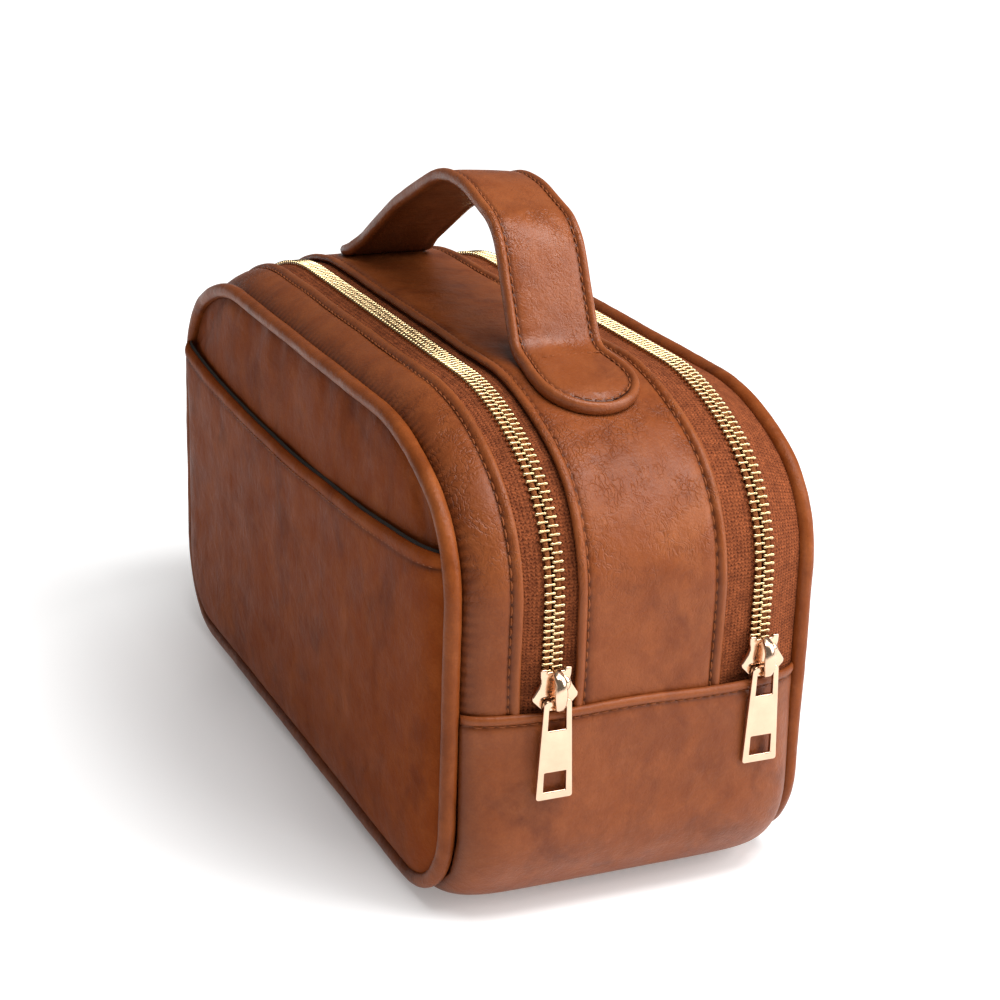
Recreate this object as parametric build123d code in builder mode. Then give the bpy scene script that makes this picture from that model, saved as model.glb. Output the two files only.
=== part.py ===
from build123d import *
import math
import os

# Toiletry bag with two zipped compartments. X runs along the bag, the sliders hang at the +X
# end, the slip pocket faces -Y, Z is up. The origin is the middle of the base, on the ground.
# Millimetres.

# Side profile, taken at the two piped seams
SEAM_Y = 57.5
HALF_LENGTH = 128.0
BASE_LINE = 3.4
TOP_LINE = 142.4
BASE_CORNER_R = 29.0
SHOULDER_END_R = 35.5
SHOULDER_TOP_R = 86.0
SHOULDER_SPLIT_DEG = 60.0

# The wall swells outwards between the seams, less under the base than at the top and ends
CROWN = 10.2
BAND_STAND = 1.5
BASE_SHARE = (BASE_LINE - BAND_STAND) / CROWN

# Heights
FOLD_Z = 70.4            # top edge of the base band, where the panels fold outwards
TUCK_Z = 62.4            # zips and gusset end this low, inside the band
ZIP_SPLIT_Z = 102.4      # below this the outer half of a zip stays with the end wall
POCKET_TOP_Z = 106.2
CHAIN_LOW_Z = 74.6

# Layers
LEATHER = 1.4
FOAM = 2.7
LINING = 0.6
TAPE = 0.7
TAPE_DEPTH = 1.5
LINING_DEPTH = 2.3
GAP = 0.1
PIPING_R = 2.6
PIPING_CORD_R = 1.6

# Across the bag
WALL_EDGE_Y = 54.6
FRONT_GUSSET_Y = -39.3
CENTRE_GUSSET_Y = (-23.0, 25.0)
FRONT_ZIP_Y = -30.0
BACK_ZIP_Y = 38.8
CHAIN_HALF = 3.4
CHAIN_SLOT = 0.7         # half the gap that the slider's post runs in
CHAIN_TOP_DEPTH = 0.3
CHAIN_THICK = 2.8
TAPE_TUCK = 4.7          # how far a tape reaches under the leather beside it
FRONT_PANEL_Y = 57.0
BACK_PANEL_Y = 58.2
PANEL_INSET = 2.8
POCKET_GAP = 4.5
POCKET_LINING = 0.3

# Swell of the wall at each station across the bag. It is flat across each zip.
SKIN = [(-54.6, 1.9), (-48.0, 5.3), (-39.3, 8.05), (-34.2, 9.6), (-25.8, 9.6), (-23.0, CROWN),
        (25.0, CROWN), (34.2, 8.5), (43.4, 8.5), (48.0, 6.0), (54.6, 2.2)]
BAND = [(-54.6, 1.9), (-48.0, 5.3), (-39.3, 8.05), (-23.0, CROWN),
        (25.0, CROWN), (34.0, 9.0), (43.0, 7.1), (48.0, 5.3), (54.6, 1.9)]

# Slider and pull
SLIDER_Z = 77.0
SLIDER_PLATE = 1.4
BRIDGE_WIDTH = 3.2
PULL_THICK = 1.6
PULL_STAND = 3.7         # pull's swing axis above the zip's surface
PULL_AXIS_Z = 73.7
PULL_BOTTOM_Z = 43.3
PULL_BAR = 0.9            # half the pull's top bar, which runs under the bridge
TOP_WINDOW_LOW_Z = 65.2
FOOT_WINDOW_Z = 48.9

# Handle
HANDLE_Y = 0.5
HANDLE_HALF = 13.5
TAB_HALF = 15.5
TAB_END_X = 106.0
FAR_TAB_END_X = 99.0
TAB_START_DEG = 7.0       # where the strap leaves the bag, round the top curve
FAR_TAB_START_DEG = 9.3
TAB_ROUND_R = 15.5
STRAP_THICK = 4.2

shoulder_rise = SHOULDER_TOP_R - (SHOULDER_TOP_R - SHOULDER_END_R) * math.sin(
    math.radians(SHOULDER_SPLIT_DEG))
end_centre = (HALF_LENGTH - SHOULDER_END_R, TOP_LINE - shoulder_rise)
top_centre = (
    end_centre[0] - (SHOULDER_TOP_R - SHOULDER_END_R) * math.cos(math.radians(SHOULDER_SPLIT_DEG)),
    TOP_LINE - SHOULDER_TOP_R,
)

os.makedirs("parts", exist_ok=True)


def write(piece, name):
    """Labels a finished piece and writes its STEP file."""
    piece.part.label = name
    export_step(piece.part, f"parts/{name}.step")


def side_plane(y):
    """The plane of the side profile at y, with its own axes along X and Z."""
    return Plane(origin=(0, y, 0), x_dir=(1, 0, 0), z_dir=(0, -1, 0))


def swell(stations, y):
    """Outward swell at y, straight between stations."""
    for (y0, s0), (y1, s1) in zip(stations, stations[1:]):
        if y0 <= y <= y1:
            return s0 + (s1 - s0) * (y - y0) / (y1 - y0)
    raise ValueError(y)


def profile(y, rise, drop):
    """The side profile at y, moved out by rise at the top and ends and by drop at the base."""
    base_r = BASE_CORNER_R + drop
    end_x = HALF_LENGTH + rise
    low = BASE_LINE - drop
    rest_deg = 90 - SHOULDER_SPLIT_DEG
    with BuildSketch(side_plane(y)) as face:
        with BuildLine():
            Line((0, low), (end_x - base_r, low))
            CenterArc((end_x - base_r, low + base_r), base_r, -90, 90)
            Line((end_x, low + base_r), (end_x, end_centre[1]))
            CenterArc(end_centre, SHOULDER_END_R + rise, 0, SHOULDER_SPLIT_DEG)
            CenterArc(top_centre, SHOULDER_TOP_R + rise, SHOULDER_SPLIT_DEG, rest_deg)
            Line((top_centre[0], TOP_LINE + rise), (0, TOP_LINE + rise))
            mirror(about=Plane.YZ)
        make_face()
    return face.sketch


def wall_profile(stations, y, depth):
    """The profile of a wall layer that lies depth below the skin."""
    out = swell(stations, y)
    return profile(y, out - depth, out * BASE_SHARE - depth)


def wall(stations, y_from, y_to, depth, thick, z_low=None, z_high=None):
    """A strip of wall that goes round the bag from y_from to y_to, cut off at z_low and z_high."""
    cuts = [y_from] + [y for y, _ in stations if y_from < y < y_to] + [y_to]
    with BuildPart() as strip:
        for y0, y1 in zip(cuts, cuts[1:]):
            loft([wall_profile(stations, y, depth) for y in (y0, y1)], ruled=True)
        for y0, y1 in zip(cuts, cuts[1:]):
            loft([wall_profile(stations, y, depth + thick) for y in (y0, y1)],
                 ruled=True, mode=Mode.SUBTRACT)
        if z_low is not None:
            split(bisect_by=Plane.XY.offset(z_low), keep=Keep.TOP)
        if z_high is not None:
            split(bisect_by=Plane.XY.offset(z_high), keep=Keep.BOTTOM)
    return strip


def plate(y_out, thick, inset, side, z_low=None, z_high=None):
    """A flat sheet of a big panel: y_out is its outer face, side is -1 at the front, 1 at the back."""
    with BuildPart() as sheet:
        extrude(profile(side * y_out, -inset, -inset), amount=thick, dir=(0, -side, 0))
        if z_low is not None:
            split(bisect_by=Plane.XY.offset(z_low), keep=Keep.TOP)
        if z_high is not None:
            split(bisect_by=Plane.XY.offset(z_high), keep=Keep.BOTTOM)
    return sheet


# Base: one leather band under the bag and up both ends, a stiff board, and the lining
write(wall(BAND, -WALL_EDGE_Y, WALL_EDGE_Y, -BAND_STAND, LEATHER, z_high=FOLD_Z), "base_band")
write(wall(BAND, -WALL_EDGE_Y + 2, WALL_EDGE_Y - 2, LINING_DEPTH, LINING, z_high=TUCK_Z),
      "base_lining")

BOARD_HALF_LENGTH = 92.0
BOARD_TOP_Z = 8.4
with BuildPart() as base_board:
    add(wall(BAND, -48, 48, GAP, 2.0).part)
    with BuildSketch(Plane.XY.offset(-1)):
        Rectangle(2 * BOARD_HALF_LENGTH, 2 * SEAM_Y)
    extrude(amount=BOARD_TOP_Z, mode=Mode.INTERSECT)
write(base_board, "base_board")

# Centre gusset between the zips, its lining, and the panel that divides the two compartments
write(wall(SKIN, *CENTRE_GUSSET_Y, 0, LEATHER, z_low=TUCK_Z), "centre_gusset")
write(wall(SKIN, CENTRE_GUSSET_Y[0] + TAPE_TUCK + 0.3, CENTRE_GUSSET_Y[1] - TAPE_TUCK - 0.3,
           LINING_DEPTH, LINING, z_low=TUCK_Z), "centre_gusset_lining")

DIVIDER_Y = 0.2
DIVIDER_THICK = 1.6
divider_depth = LINING_DEPTH + LINING + GAP
with BuildPart() as divider_panel:
    extrude(wall_profile(SKIN, DIVIDER_Y, divider_depth), amount=DIVIDER_THICK, dir=(0, 1, 0))
write(divider_panel, "divider_panel")

# Front gusset: the leather strip between the front piping and the front zip
write(wall(SKIN, -WALL_EDGE_Y, FRONT_GUSSET_Y, 0, LEATHER, z_low=FOLD_Z), "front_gusset")
write(wall(SKIN, -WALL_EDGE_Y + 1.6, FRONT_GUSSET_Y - TAPE_TUCK - 0.3, LINING_DEPTH, LINING,
           z_low=FOLD_Z), "front_gusset_lining")


# Front and back panels, each in an upper part that folds out and a lower part that stays
def panel(name, side, face_y):
    """Leather, foam and lining of one big panel, split at the fold line."""
    foam_y = face_y - LEATHER - GAP
    lining_y = foam_y - FOAM - GAP
    layers = [("panel", face_y, LEATHER), ("foam", foam_y, FOAM), ("lining", lining_y, LINING)]
    for layer, y_out, thick in layers:
        write(plate(y_out, thick, PANEL_INSET, side, z_high=FOLD_Z), f"{name}_{layer}_lower")
        write(plate(y_out, thick, PANEL_INSET, side, z_low=FOLD_Z), f"{name}_{layer}_upper")


panel("front", -1, FRONT_PANEL_Y)
panel("back", 1, BACK_PANEL_Y)


# Slip pocket: a leather sheet whose rim is sewn down at both ends and along the base
def pocket_panel(z_low, z_high):
    """One height range of the pocket's leather, a shallow tray open at the top."""
    inner_y = FRONT_PANEL_Y + POCKET_GAP + POCKET_LINING + GAP
    with BuildPart() as tray:
        extrude(profile(-inner_y - LEATHER, -PANEL_INSET, -PANEL_INSET),
                amount=inner_y + LEATHER - FRONT_PANEL_Y - GAP, dir=(0, 1, 0))
        extrude(profile(-inner_y, -PANEL_INSET - LEATHER, -PANEL_INSET - LEATHER),
                amount=inner_y - FRONT_PANEL_Y, dir=(0, 1, 0), mode=Mode.SUBTRACT)
        split(bisect_by=Plane.XY.offset(z_high), keep=Keep.BOTTOM)
        if z_low is not None:
            split(bisect_by=Plane.XY.offset(z_low), keep=Keep.TOP)
    return tray


write(pocket_panel(None, FOLD_Z), "pocket_panel_lower")
write(pocket_panel(FOLD_Z, POCKET_TOP_Z), "pocket_panel_upper")
pocket_lining_y = FRONT_PANEL_Y + POCKET_GAP + POCKET_LINING
pocket_lining_inset = PANEL_INSET + LEATHER + GAP
write(plate(pocket_lining_y, POCKET_LINING, pocket_lining_inset, -1, z_high=FOLD_Z),
      "pocket_lining_lower")
write(plate(pocket_lining_y, POCKET_LINING, pocket_lining_inset, -1, z_low=FOLD_Z,
            z_high=POCKET_TOP_Z), "pocket_lining_upper")


# Piping: a leather cover rolled round a cord, along each big seam
def piping(y, outer_r, inner_r, upper):
    """One run of piping at y, over the top from fold line to fold line, or under the base."""
    with BuildPart() as tube:
        with BuildLine(side_plane(y)) as path:
            if upper:
                Line((HALF_LENGTH, FOLD_Z), (HALF_LENGTH, end_centre[1]))
                CenterArc(end_centre, SHOULDER_END_R, 0, SHOULDER_SPLIT_DEG)
                CenterArc(top_centre, SHOULDER_TOP_R, SHOULDER_SPLIT_DEG, 90 - SHOULDER_SPLIT_DEG)
                Line((top_centre[0], TOP_LINE), (0, TOP_LINE))
            else:
                Line((HALF_LENGTH, FOLD_Z), (HALF_LENGTH, BASE_LINE + BASE_CORNER_R))
                CenterArc((HALF_LENGTH - BASE_CORNER_R, BASE_LINE + BASE_CORNER_R),
                          BASE_CORNER_R, 0, -90)
                Line((HALF_LENGTH - BASE_CORNER_R, BASE_LINE), (0, BASE_LINE))
            mirror(about=Plane.YZ)
        with BuildSketch(Plane((HALF_LENGTH, y, FOLD_Z), x_dir=(1, 0, 0), z_dir=(0, 0, 1))):
            Circle(outer_r)
            if inner_r:
                Circle(inner_r, mode=Mode.SUBTRACT)
        sweep(path=path.wire())
    return tube


for name, y in (("front", -SEAM_Y), ("back", SEAM_Y)):
    for end, upper in (("upper", True), ("lower", False)):
        write(piping(y, PIPING_R, PIPING_CORD_R + GAP, upper), f"{name}_piping_{end}")
        write(piping(y, PIPING_CORD_R, 0, upper), f"{name}_piping_cord_{end}")


# Zips. Each half is a woven tape with a row of teeth along its edge, drawn as one strip. The
# inner half belongs to the centre gusset, the outer half to the panel that opens.
def half(y, side, tape_edge, zone):
    """Tape and teeth of one half zip: side is the way from the chain to the tape's far edge."""
    teeth_near, teeth_far = y + side * CHAIN_SLOT, y + side * CHAIN_HALF
    tape_y = sorted((teeth_far, tape_edge))
    teeth_y = sorted((teeth_near, teeth_far))
    teeth_zone = dict(zone)
    teeth_zone["z_low"] = max(zone.get("z_low", 0), CHAIN_LOW_Z)
    tape = wall(SKIN, *tape_y, TAPE_DEPTH, TAPE, **zone)
    teeth = wall(SKIN, *teeth_y, CHAIN_TOP_DEPTH, CHAIN_THICK, **teeth_zone)
    return tape, teeth


def stops(y, surface_x):
    """The box at the -X end and the two top stops at the +X end."""
    box_height, stop_height = 3.2, 2.0
    box_z = FOLD_Z + 0.5 + box_height / 2
    with BuildPart() as set_of_stops:
        with Locations((-surface_x + 1.6, y, box_z)):
            Box(3.0, 5.2, box_height)
        with Locations(*[(surface_x - 1.6, y + side * 2.1, FOLD_Z + 1.5) for side in (-1, 1)]):
            Box(2.8, 2.4, stop_height)
    return set_of_stops


inner_zone = {"z_low": TUCK_Z}
ends_zone = {"z_low": TUCK_Z, "z_high": ZIP_SPLIT_Z}
flap_zone = {"z_low": ZIP_SPLIT_Z}
for name, y, inner_side, inner_edge, outer_edge in (
    ("front", FRONT_ZIP_Y, 1, CENTRE_GUSSET_Y[0] + TAPE_TUCK, FRONT_GUSSET_Y - TAPE_TUCK),
    ("back", BACK_ZIP_Y, -1, CENTRE_GUSSET_Y[1] - TAPE_TUCK, WALL_EDGE_Y),
):
    for part_name, side, edge, zone in (
        ("inner", inner_side, inner_edge, inner_zone),
        ("ends", -inner_side, outer_edge, ends_zone),
        ("outer", -inner_side, outer_edge, flap_zone),
    ):
        tape, teeth = half(y, side, edge, zone)
        write(tape, f"{name}_zip_tape_{part_name}")
        write(teeth, f"{name}_zip_teeth_{part_name}")
    write(stops(y, HALF_LENGTH + swell(SKIN, y)), f"{name}_zip_stops")


# Slider: two winged plates joined by a post, flanges that hold the tape in, and a bridge
WING = [(0, 5.7), (3.1, 5.7), (3.4, 6.4), (5.1, 6.2), (4.7, 3.2), (5.2, 1.2), (7.2, -1.8),
        (7.1, -2.9), (4.6, -5.4), (1.6, -6.4), (0, -6.4)]
FLANGE_IN, FLANGE_OUT = 3.65, 4.5
FLANGE_HALF_HEIGHT = 4.2
POST_HALF = 0.5
OUTER_PLATE_STAND = 0.9
INNER_PLATE_DEPTH = 3.3
INNER_PLATE_SHARE = 0.7


def x_plane(x, y, z):
    """A plane square to X, with its own axes along Y and Z."""
    return Plane(origin=(x, y, z), x_dir=(0, 1, 0), z_dir=(1, 0, 0))


def slider_body(y, skin_x):
    """The cast slider: outer plate, inner plate, post and flanges."""
    with BuildPart() as body:
        for x, share in ((skin_x + OUTER_PLATE_STAND, 1.0),
                         (skin_x - INNER_PLATE_DEPTH - SLIDER_PLATE, INNER_PLATE_SHARE)):
            with BuildSketch(x_plane(x, y, SLIDER_Z)):
                with BuildLine():
                    Polyline(*[(share * u, v) for u, v in WING])
                    mirror(about=Plane.YZ)
                make_face()
            extrude(amount=SLIDER_PLATE)
        with BuildSketch(x_plane(skin_x - INNER_PLATE_DEPTH, y, SLIDER_Z)):
            with Locations((0, -4.4)):
                Rectangle(2 * POST_HALF, 2.6)
        extrude(amount=INNER_PLATE_DEPTH + OUTER_PLATE_STAND)
        flange_mid = (FLANGE_IN + FLANGE_OUT) / 2
        for x, reach in ((skin_x + OUTER_PLATE_STAND, -2.2), (skin_x - INNER_PLATE_DEPTH, 0.9)):
            with BuildSketch(x_plane(x, y, SLIDER_Z)):
                with Locations((-flange_mid, 0), (flange_mid, 0)):
                    Rectangle(FLANGE_OUT - FLANGE_IN, 2 * FLANGE_HALF_HEIGHT)
            extrude(amount=reach)
    return body


def slider_bridge(y, skin_x):
    """The arch over the outer plate that the pull's bar runs under."""
    foot_x = skin_x + OUTER_PLATE_STAND + SLIDER_PLATE
    arch_x = skin_x + PULL_STAND + 2.1
    wall_thick = 1.2
    with BuildPart() as arch:
        with BuildSketch(side_plane(y + BRIDGE_WIDTH / 2)):
            with BuildLine():
                Polyline((foot_x, SLIDER_Z - 6.0), (arch_x + wall_thick, SLIDER_Z - 6.0),
                         (arch_x + wall_thick, SLIDER_Z + 5.4), (foot_x, SLIDER_Z + 5.4),
                         (foot_x, SLIDER_Z + 5.4 - wall_thick), (arch_x, SLIDER_Z + 5.4 - wall_thick),
                         (arch_x, SLIDER_Z - 6.0 + wall_thick), (foot_x, SLIDER_Z - 6.0 + wall_thick),
                         close=True)
            make_face()
        extrude(amount=BRIDGE_WIDTH)
        outer = arch.edges().filter_by(Axis.Y).group_by(Axis.X)
        fillet(outer[-1], 2.0)
    return arch


def pull_tab(y, skin_x):
    """A flat tapered pull with a window at the top, for the bridge, and one near the foot."""
    top_half, foot_half = 4.3, 5.9
    top_z = PULL_AXIS_Z + PULL_BAR
    window_top = PULL_AXIS_Z - PULL_BAR
    back_x = skin_x + PULL_STAND - PULL_THICK / 2
    with BuildPart() as pull:
        with BuildSketch(x_plane(back_x, y, 0)) as outline:
            with BuildLine():
                Polyline((-top_half, top_z), (top_half, top_z), (foot_half, PULL_BOTTOM_Z),
                         (-foot_half, PULL_BOTTOM_Z), close=True)
            make_face()
            fillet(outline.vertices().group_by(Axis.Y)[0], 1.2)
            fillet(outline.vertices().group_by(Axis.Y)[-1], 0.7)
            with Locations((0, (window_top + TOP_WINDOW_LOW_Z) / 2)):
                Rectangle(6.0, window_top - TOP_WINDOW_LOW_Z, mode=Mode.SUBTRACT)
            with Locations((0, FOOT_WINDOW_Z)):
                Rectangle(7.4, 6.2, mode=Mode.SUBTRACT)
        extrude(amount=PULL_THICK)
    return pull


for name, y in (("front", FRONT_ZIP_Y), ("back", BACK_ZIP_Y)):
    skin_x = HALF_LENGTH + swell(SKIN, y)
    write(slider_body(y, skin_x), f"{name}_slider_body")
    write(slider_bridge(y, skin_x), f"{name}_slider_bridge")
    write(pull_tab(y, skin_x), f"{name}_pull_tab")


# Handle: face leather, filler and backing leather on one route. It lies on the centre gusset
# at both ends and stands up in a loop that leans towards the sliders.
def leaving_point(tab_r, angle_deg, side):
    """Where the strap leaves the bag on one side, and the corner of its foot past that."""
    angle = math.radians(angle_deg)
    leave = (top_centre[0] + tab_r * math.sin(angle), top_centre[1] + tab_r * math.cos(angle))
    foot = (leave[0] - 10.2, leave[1] + 10.2 * math.tan(angle))
    return (side * leave[0], leave[1]), (side * foot[0], foot[1])


def plan_half(end_x):
    """Half the strap's plan on one side, as far as its rounded end at end_x."""
    side = math.copysign(1, end_x)
    narrow, wide = HANDLE_Y + HANDLE_HALF, HANDLE_Y + TAB_HALF
    arc_x = end_x - 15 * side
    Polyline((0, narrow), (arc_x - 19 * side, narrow), (arc_x - 5 * side, wide), (arc_x, wide))
    RadiusArc((arc_x, wide), (end_x, HANDLE_Y), TAB_ROUND_R * side)


def handle_layer(offset, thick):
    """One layer of the strap, offset above the strap's middle line."""
    tab_r = SHOULDER_TOP_R + CROWN + GAP + STRAP_THICK / 2
    cx, cz = top_centre
    end_deg = math.degrees(math.asin((TAB_END_X - cx) / tab_r))
    far_end_deg = math.degrees(math.asin((FAR_TAB_END_X - cx) / tab_r))
    near, foot = leaving_point(tab_r, TAB_START_DEG, 1)
    far, far_foot = leaving_point(tab_r, FAR_TAB_START_DEG, -1)
    with BuildPart() as strap:
        with BuildLine(side_plane(HANDLE_Y)) as route:
            CenterArc(top_centre, tab_r, 90 - end_deg, end_deg - TAB_START_DEG)
            FilletPolyline(near, foot, (52, 190.7), (14, 201.6), (-33, 180), far_foot, far,
                           radius=[10, 18, 50, 60, 16])
            CenterArc((-cx, cz), tab_r, 90 + FAR_TAB_START_DEG, far_end_deg - FAR_TAB_START_DEG)
        start = route.wire() @ 0
        heading = route.wire() % 0
        with BuildSketch(Plane(origin=start, x_dir=(0, 1, 0), z_dir=heading)):
            with Locations((0, offset)):
                Rectangle(2 * TAB_HALF + 2, thick)
        sweep(path=route.wire())
        with BuildSketch(Plane.XY.offset(TOP_LINE - 20)):
            with BuildLine():
                plan_half(TAB_END_X)
                plan_half(-FAR_TAB_END_X)
                mirror(about=Plane.XZ.offset(-HANDLE_Y))
            make_face()
        extrude(amount=90, mode=Mode.INTERSECT)
    return strap


core_thick = STRAP_THICK - 2 * LEATHER - 2 * GAP
write(handle_layer((STRAP_THICK - LEATHER) / 2, LEATHER), "handle_face")
write(handle_layer(0, core_thick), "handle_core")
write(handle_layer(-(STRAP_THICK - LEATHER) / 2, LEATHER), "handle_backing")
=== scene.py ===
import math

import bmesh
import bpy
import numpy as np
from mathutils import Matrix, Vector, kdtree, noise


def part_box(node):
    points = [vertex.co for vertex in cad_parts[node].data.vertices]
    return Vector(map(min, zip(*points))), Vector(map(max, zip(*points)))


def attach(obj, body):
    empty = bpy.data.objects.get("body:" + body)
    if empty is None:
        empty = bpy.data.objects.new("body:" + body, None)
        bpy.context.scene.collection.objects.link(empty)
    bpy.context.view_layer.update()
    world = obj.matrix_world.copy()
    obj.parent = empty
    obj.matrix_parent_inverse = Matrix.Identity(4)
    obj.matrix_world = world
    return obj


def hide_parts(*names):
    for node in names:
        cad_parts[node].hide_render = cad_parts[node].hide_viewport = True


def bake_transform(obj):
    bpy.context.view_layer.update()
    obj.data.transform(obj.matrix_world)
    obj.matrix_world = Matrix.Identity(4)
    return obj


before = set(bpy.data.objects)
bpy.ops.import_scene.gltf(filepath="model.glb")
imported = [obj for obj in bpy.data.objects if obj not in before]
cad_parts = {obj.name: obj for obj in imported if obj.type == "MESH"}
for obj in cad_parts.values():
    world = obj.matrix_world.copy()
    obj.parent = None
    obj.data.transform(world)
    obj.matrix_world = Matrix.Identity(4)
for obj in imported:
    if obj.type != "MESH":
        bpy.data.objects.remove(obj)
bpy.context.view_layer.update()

# Looks of the toiletry bag. Lengths are in millimetres here and become metres in make_object.
MM = 0.001


def box(node):
    """Lowest and highest corner of a CAD node, in millimetres."""
    low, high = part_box(node)
    return np.array(low) / MM, np.array(high) / MM


# ---- The frame's own measures ---------------------------------------------------------------
piping_low, piping_high = box("front_piping_upper")
PIPING_R = (piping_high[1] - piping_low[1]) / 2
SEAM_Y = -(piping_high[1] + piping_low[1]) / 2
HALF_LENGTH = piping_high[0] - PIPING_R
TOP_LINE = piping_high[2] - PIPING_R
BASE_LINE = box("front_piping_lower")[0][2] + PIPING_R
FOLD_Z = box("base_band")[1][2]
TUCK_Z = box("centre_gusset")[0][2]
GUSSET_LOW_Y, GUSSET_HIGH_Y = (box("centre_gusset")[k][1] for k in (0, 1))
FRONT_GUSSET_Y = box("front_gusset")[1][1]
FRONT_ZIP_Y = (box("front_zip_teeth_inner")[1][1] + box("front_zip_teeth_outer")[0][1]) / 2
BACK_ZIP_Y = (box("back_zip_teeth_inner")[0][1] + box("back_zip_teeth_outer")[1][1]) / 2
FRONT_ZIP_RISE = box("front_zip_teeth_inner")[1][0] - HALF_LENGTH
BACK_ZIP_RISE = box("back_zip_teeth_inner")[1][0] - HALF_LENGTH
POCKET_TOP_Z = box("pocket_panel_upper")[1][2]
POCKET_FACE_Y = -box("pocket_panel_upper")[0][1]
FRONT_FACE_Y = -box("front_panel_upper")[0][1]
BACK_FACE_Y = box("back_panel_upper")[1][1]
FRONT_INNER_Y = -box("front_lining_upper")[1][1]
BACK_INNER_Y = box("back_lining_upper")[0][1]
handle_low, handle_high = box("handle_face")
# In the photo the handle sits further forward, its tabs are wider and no far tab shows.
HANDLE_Y = (handle_low[1] + handle_high[1]) / 2 - 0.9
TAB_HALF = (handle_high[1] - handle_low[1]) / 2 + 1.0
NEAR_TAB_X, FAR_TAB_X = handle_high[0], -handle_low[0] - 7
pull_low, pull_high = box("front_pull_tab")
PULL_THICK = pull_high[0] - pull_low[0]

# Side profile, as in the CAD
BASE_CORNER_R = 29.0
SHOULDER_END_R = 35.5
SHOULDER_TOP_R = 86.0
SPLIT = math.radians(60)
END_CENTRE = (HALF_LENGTH - SHOULDER_END_R,
              TOP_LINE - SHOULDER_TOP_R + (SHOULDER_TOP_R - SHOULDER_END_R) * math.sin(SPLIT))
TOP_CENTRE = (END_CENTRE[0] - (SHOULDER_TOP_R - SHOULDER_END_R) * math.cos(SPLIT),
              TOP_LINE - SHOULDER_TOP_R)
RUNS = [HALF_LENGTH - BASE_CORNER_R, BASE_CORNER_R * math.pi / 2,
        END_CENTRE[1] - BASE_LINE - BASE_CORNER_R, SHOULDER_END_R * SPLIT,
        SHOULDER_TOP_R * (math.pi / 2 - SPLIT), TOP_CENTRE[0]]
MARKS = np.concatenate([[0], np.cumsum(RUNS)])
HALF_WAY = MARKS[-1]
CROWN = 10.3                 # how far the wall swells out between its seams
BASE_SHARE = 0.186           # the share of that under the base, which stands nearly flat


def way_at(z):
    """How far round the profile, from the middle of the base, the +X end reaches height z."""
    return MARKS[2] + z - BASE_LINE - BASE_CORNER_R


def folded(s):
    """How far s is from the middle of the base by the shorter way, and whether that is at -X."""
    wrapped = np.mod(s, 2 * HALF_WAY)
    mirrored = wrapped > HALF_WAY
    return np.where(mirrored, 2 * HALF_WAY - wrapped, wrapped), mirrored


def outline(s, rise, drop):
    """X and Z of the side profile, s round from the middle of the base, moved out by rise."""
    s, rise, drop = np.broadcast_arrays(*(np.asarray(v, float) for v in (s, rise, drop)))
    u, mirrored = folded(s)
    share = [np.clip((u - MARKS[k]) / RUNS[k], 0, 1) for k in range(6)]
    end_x, base_r = HALF_LENGTH + rise, BASE_CORNER_R + drop
    low = BASE_LINE - drop
    corner = (share[1] - 1) * math.pi / 2
    end_arc = share[3] * SPLIT
    top_arc = SPLIT + share[4] * (math.pi / 2 - SPLIT)
    end_r, top_r = SHOULDER_END_R + rise, SHOULDER_TOP_R + rise
    spans = [
        (share[0] * (end_x - base_r), low),
        (end_x - base_r + base_r * np.cos(corner), low + base_r + base_r * np.sin(corner)),
        (end_x, low + base_r + share[2] * (END_CENTRE[1] - low - base_r)),
        (END_CENTRE[0] + end_r * np.cos(end_arc), END_CENTRE[1] + end_r * np.sin(end_arc)),
        (TOP_CENTRE[0] + top_r * np.cos(top_arc), TOP_CENTRE[1] + top_r * np.sin(top_arc)),
        (TOP_CENTRE[0] * (1 - share[5]), TOP_LINE + rise),
    ]
    pick = np.clip(np.searchsorted(MARKS, u, side="right") - 1, 0, 5)
    x = np.choose(pick, [np.broadcast_to(a, u.shape) for a, _ in spans])
    z = np.choose(pick, [np.broadcast_to(b, u.shape) for _, b in spans])
    return np.where(mirrored, -x, x), z


def skin(y, power=4.0):
    """Outward swell of the wall at y."""
    return CROWN * (1 - np.abs(np.asarray(y, float) / SEAM_Y) ** power)


def squareness(s):
    """The power of the wall's swell at s: squarer round the base than higher up."""
    return 4.0 + 5.0 * np.clip((MARKS[2] + 25 - folded(s)[0]) / 40, 0, 1)


def wall_points(s, y, height):
    """Points on the wall, height above the skin. s, y and height broadcast together."""
    s, y, height = np.broadcast_arrays(*(np.asarray(v, float) for v in (s, y, height)))
    out = skin(y, squareness(s))
    x, z = outline(s, out + height, BASE_SHARE * out + height)
    return np.stack([x, y, z], -1)


# ---- Mesh helpers ---------------------------------------------------------------------------
def add_object(name, data):
    """An object with this data, in the scene."""
    made = bpy.data.objects.new(name, data)
    bpy.context.scene.collection.objects.link(made)
    return made


def clean(mesh, material, weld=0.0, dissolve=0.0):
    """Gives a mesh its material, welds close points and turns its faces outwards."""
    mesh.materials.clear()
    mesh.materials.append(material)
    tidy = bmesh.new()
    tidy.from_mesh(mesh)
    if weld:
        bmesh.ops.remove_doubles(tidy, verts=tidy.verts, dist=weld * MM)
    if dissolve:
        bmesh.ops.dissolve_degenerate(tidy, edges=tidy.edges, dist=dissolve * MM)
    bmesh.ops.recalc_face_normals(tidy, faces=tidy.faces)
    tidy.to_mesh(mesh)
    tidy.free()
    mesh.shade_smooth()


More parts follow.
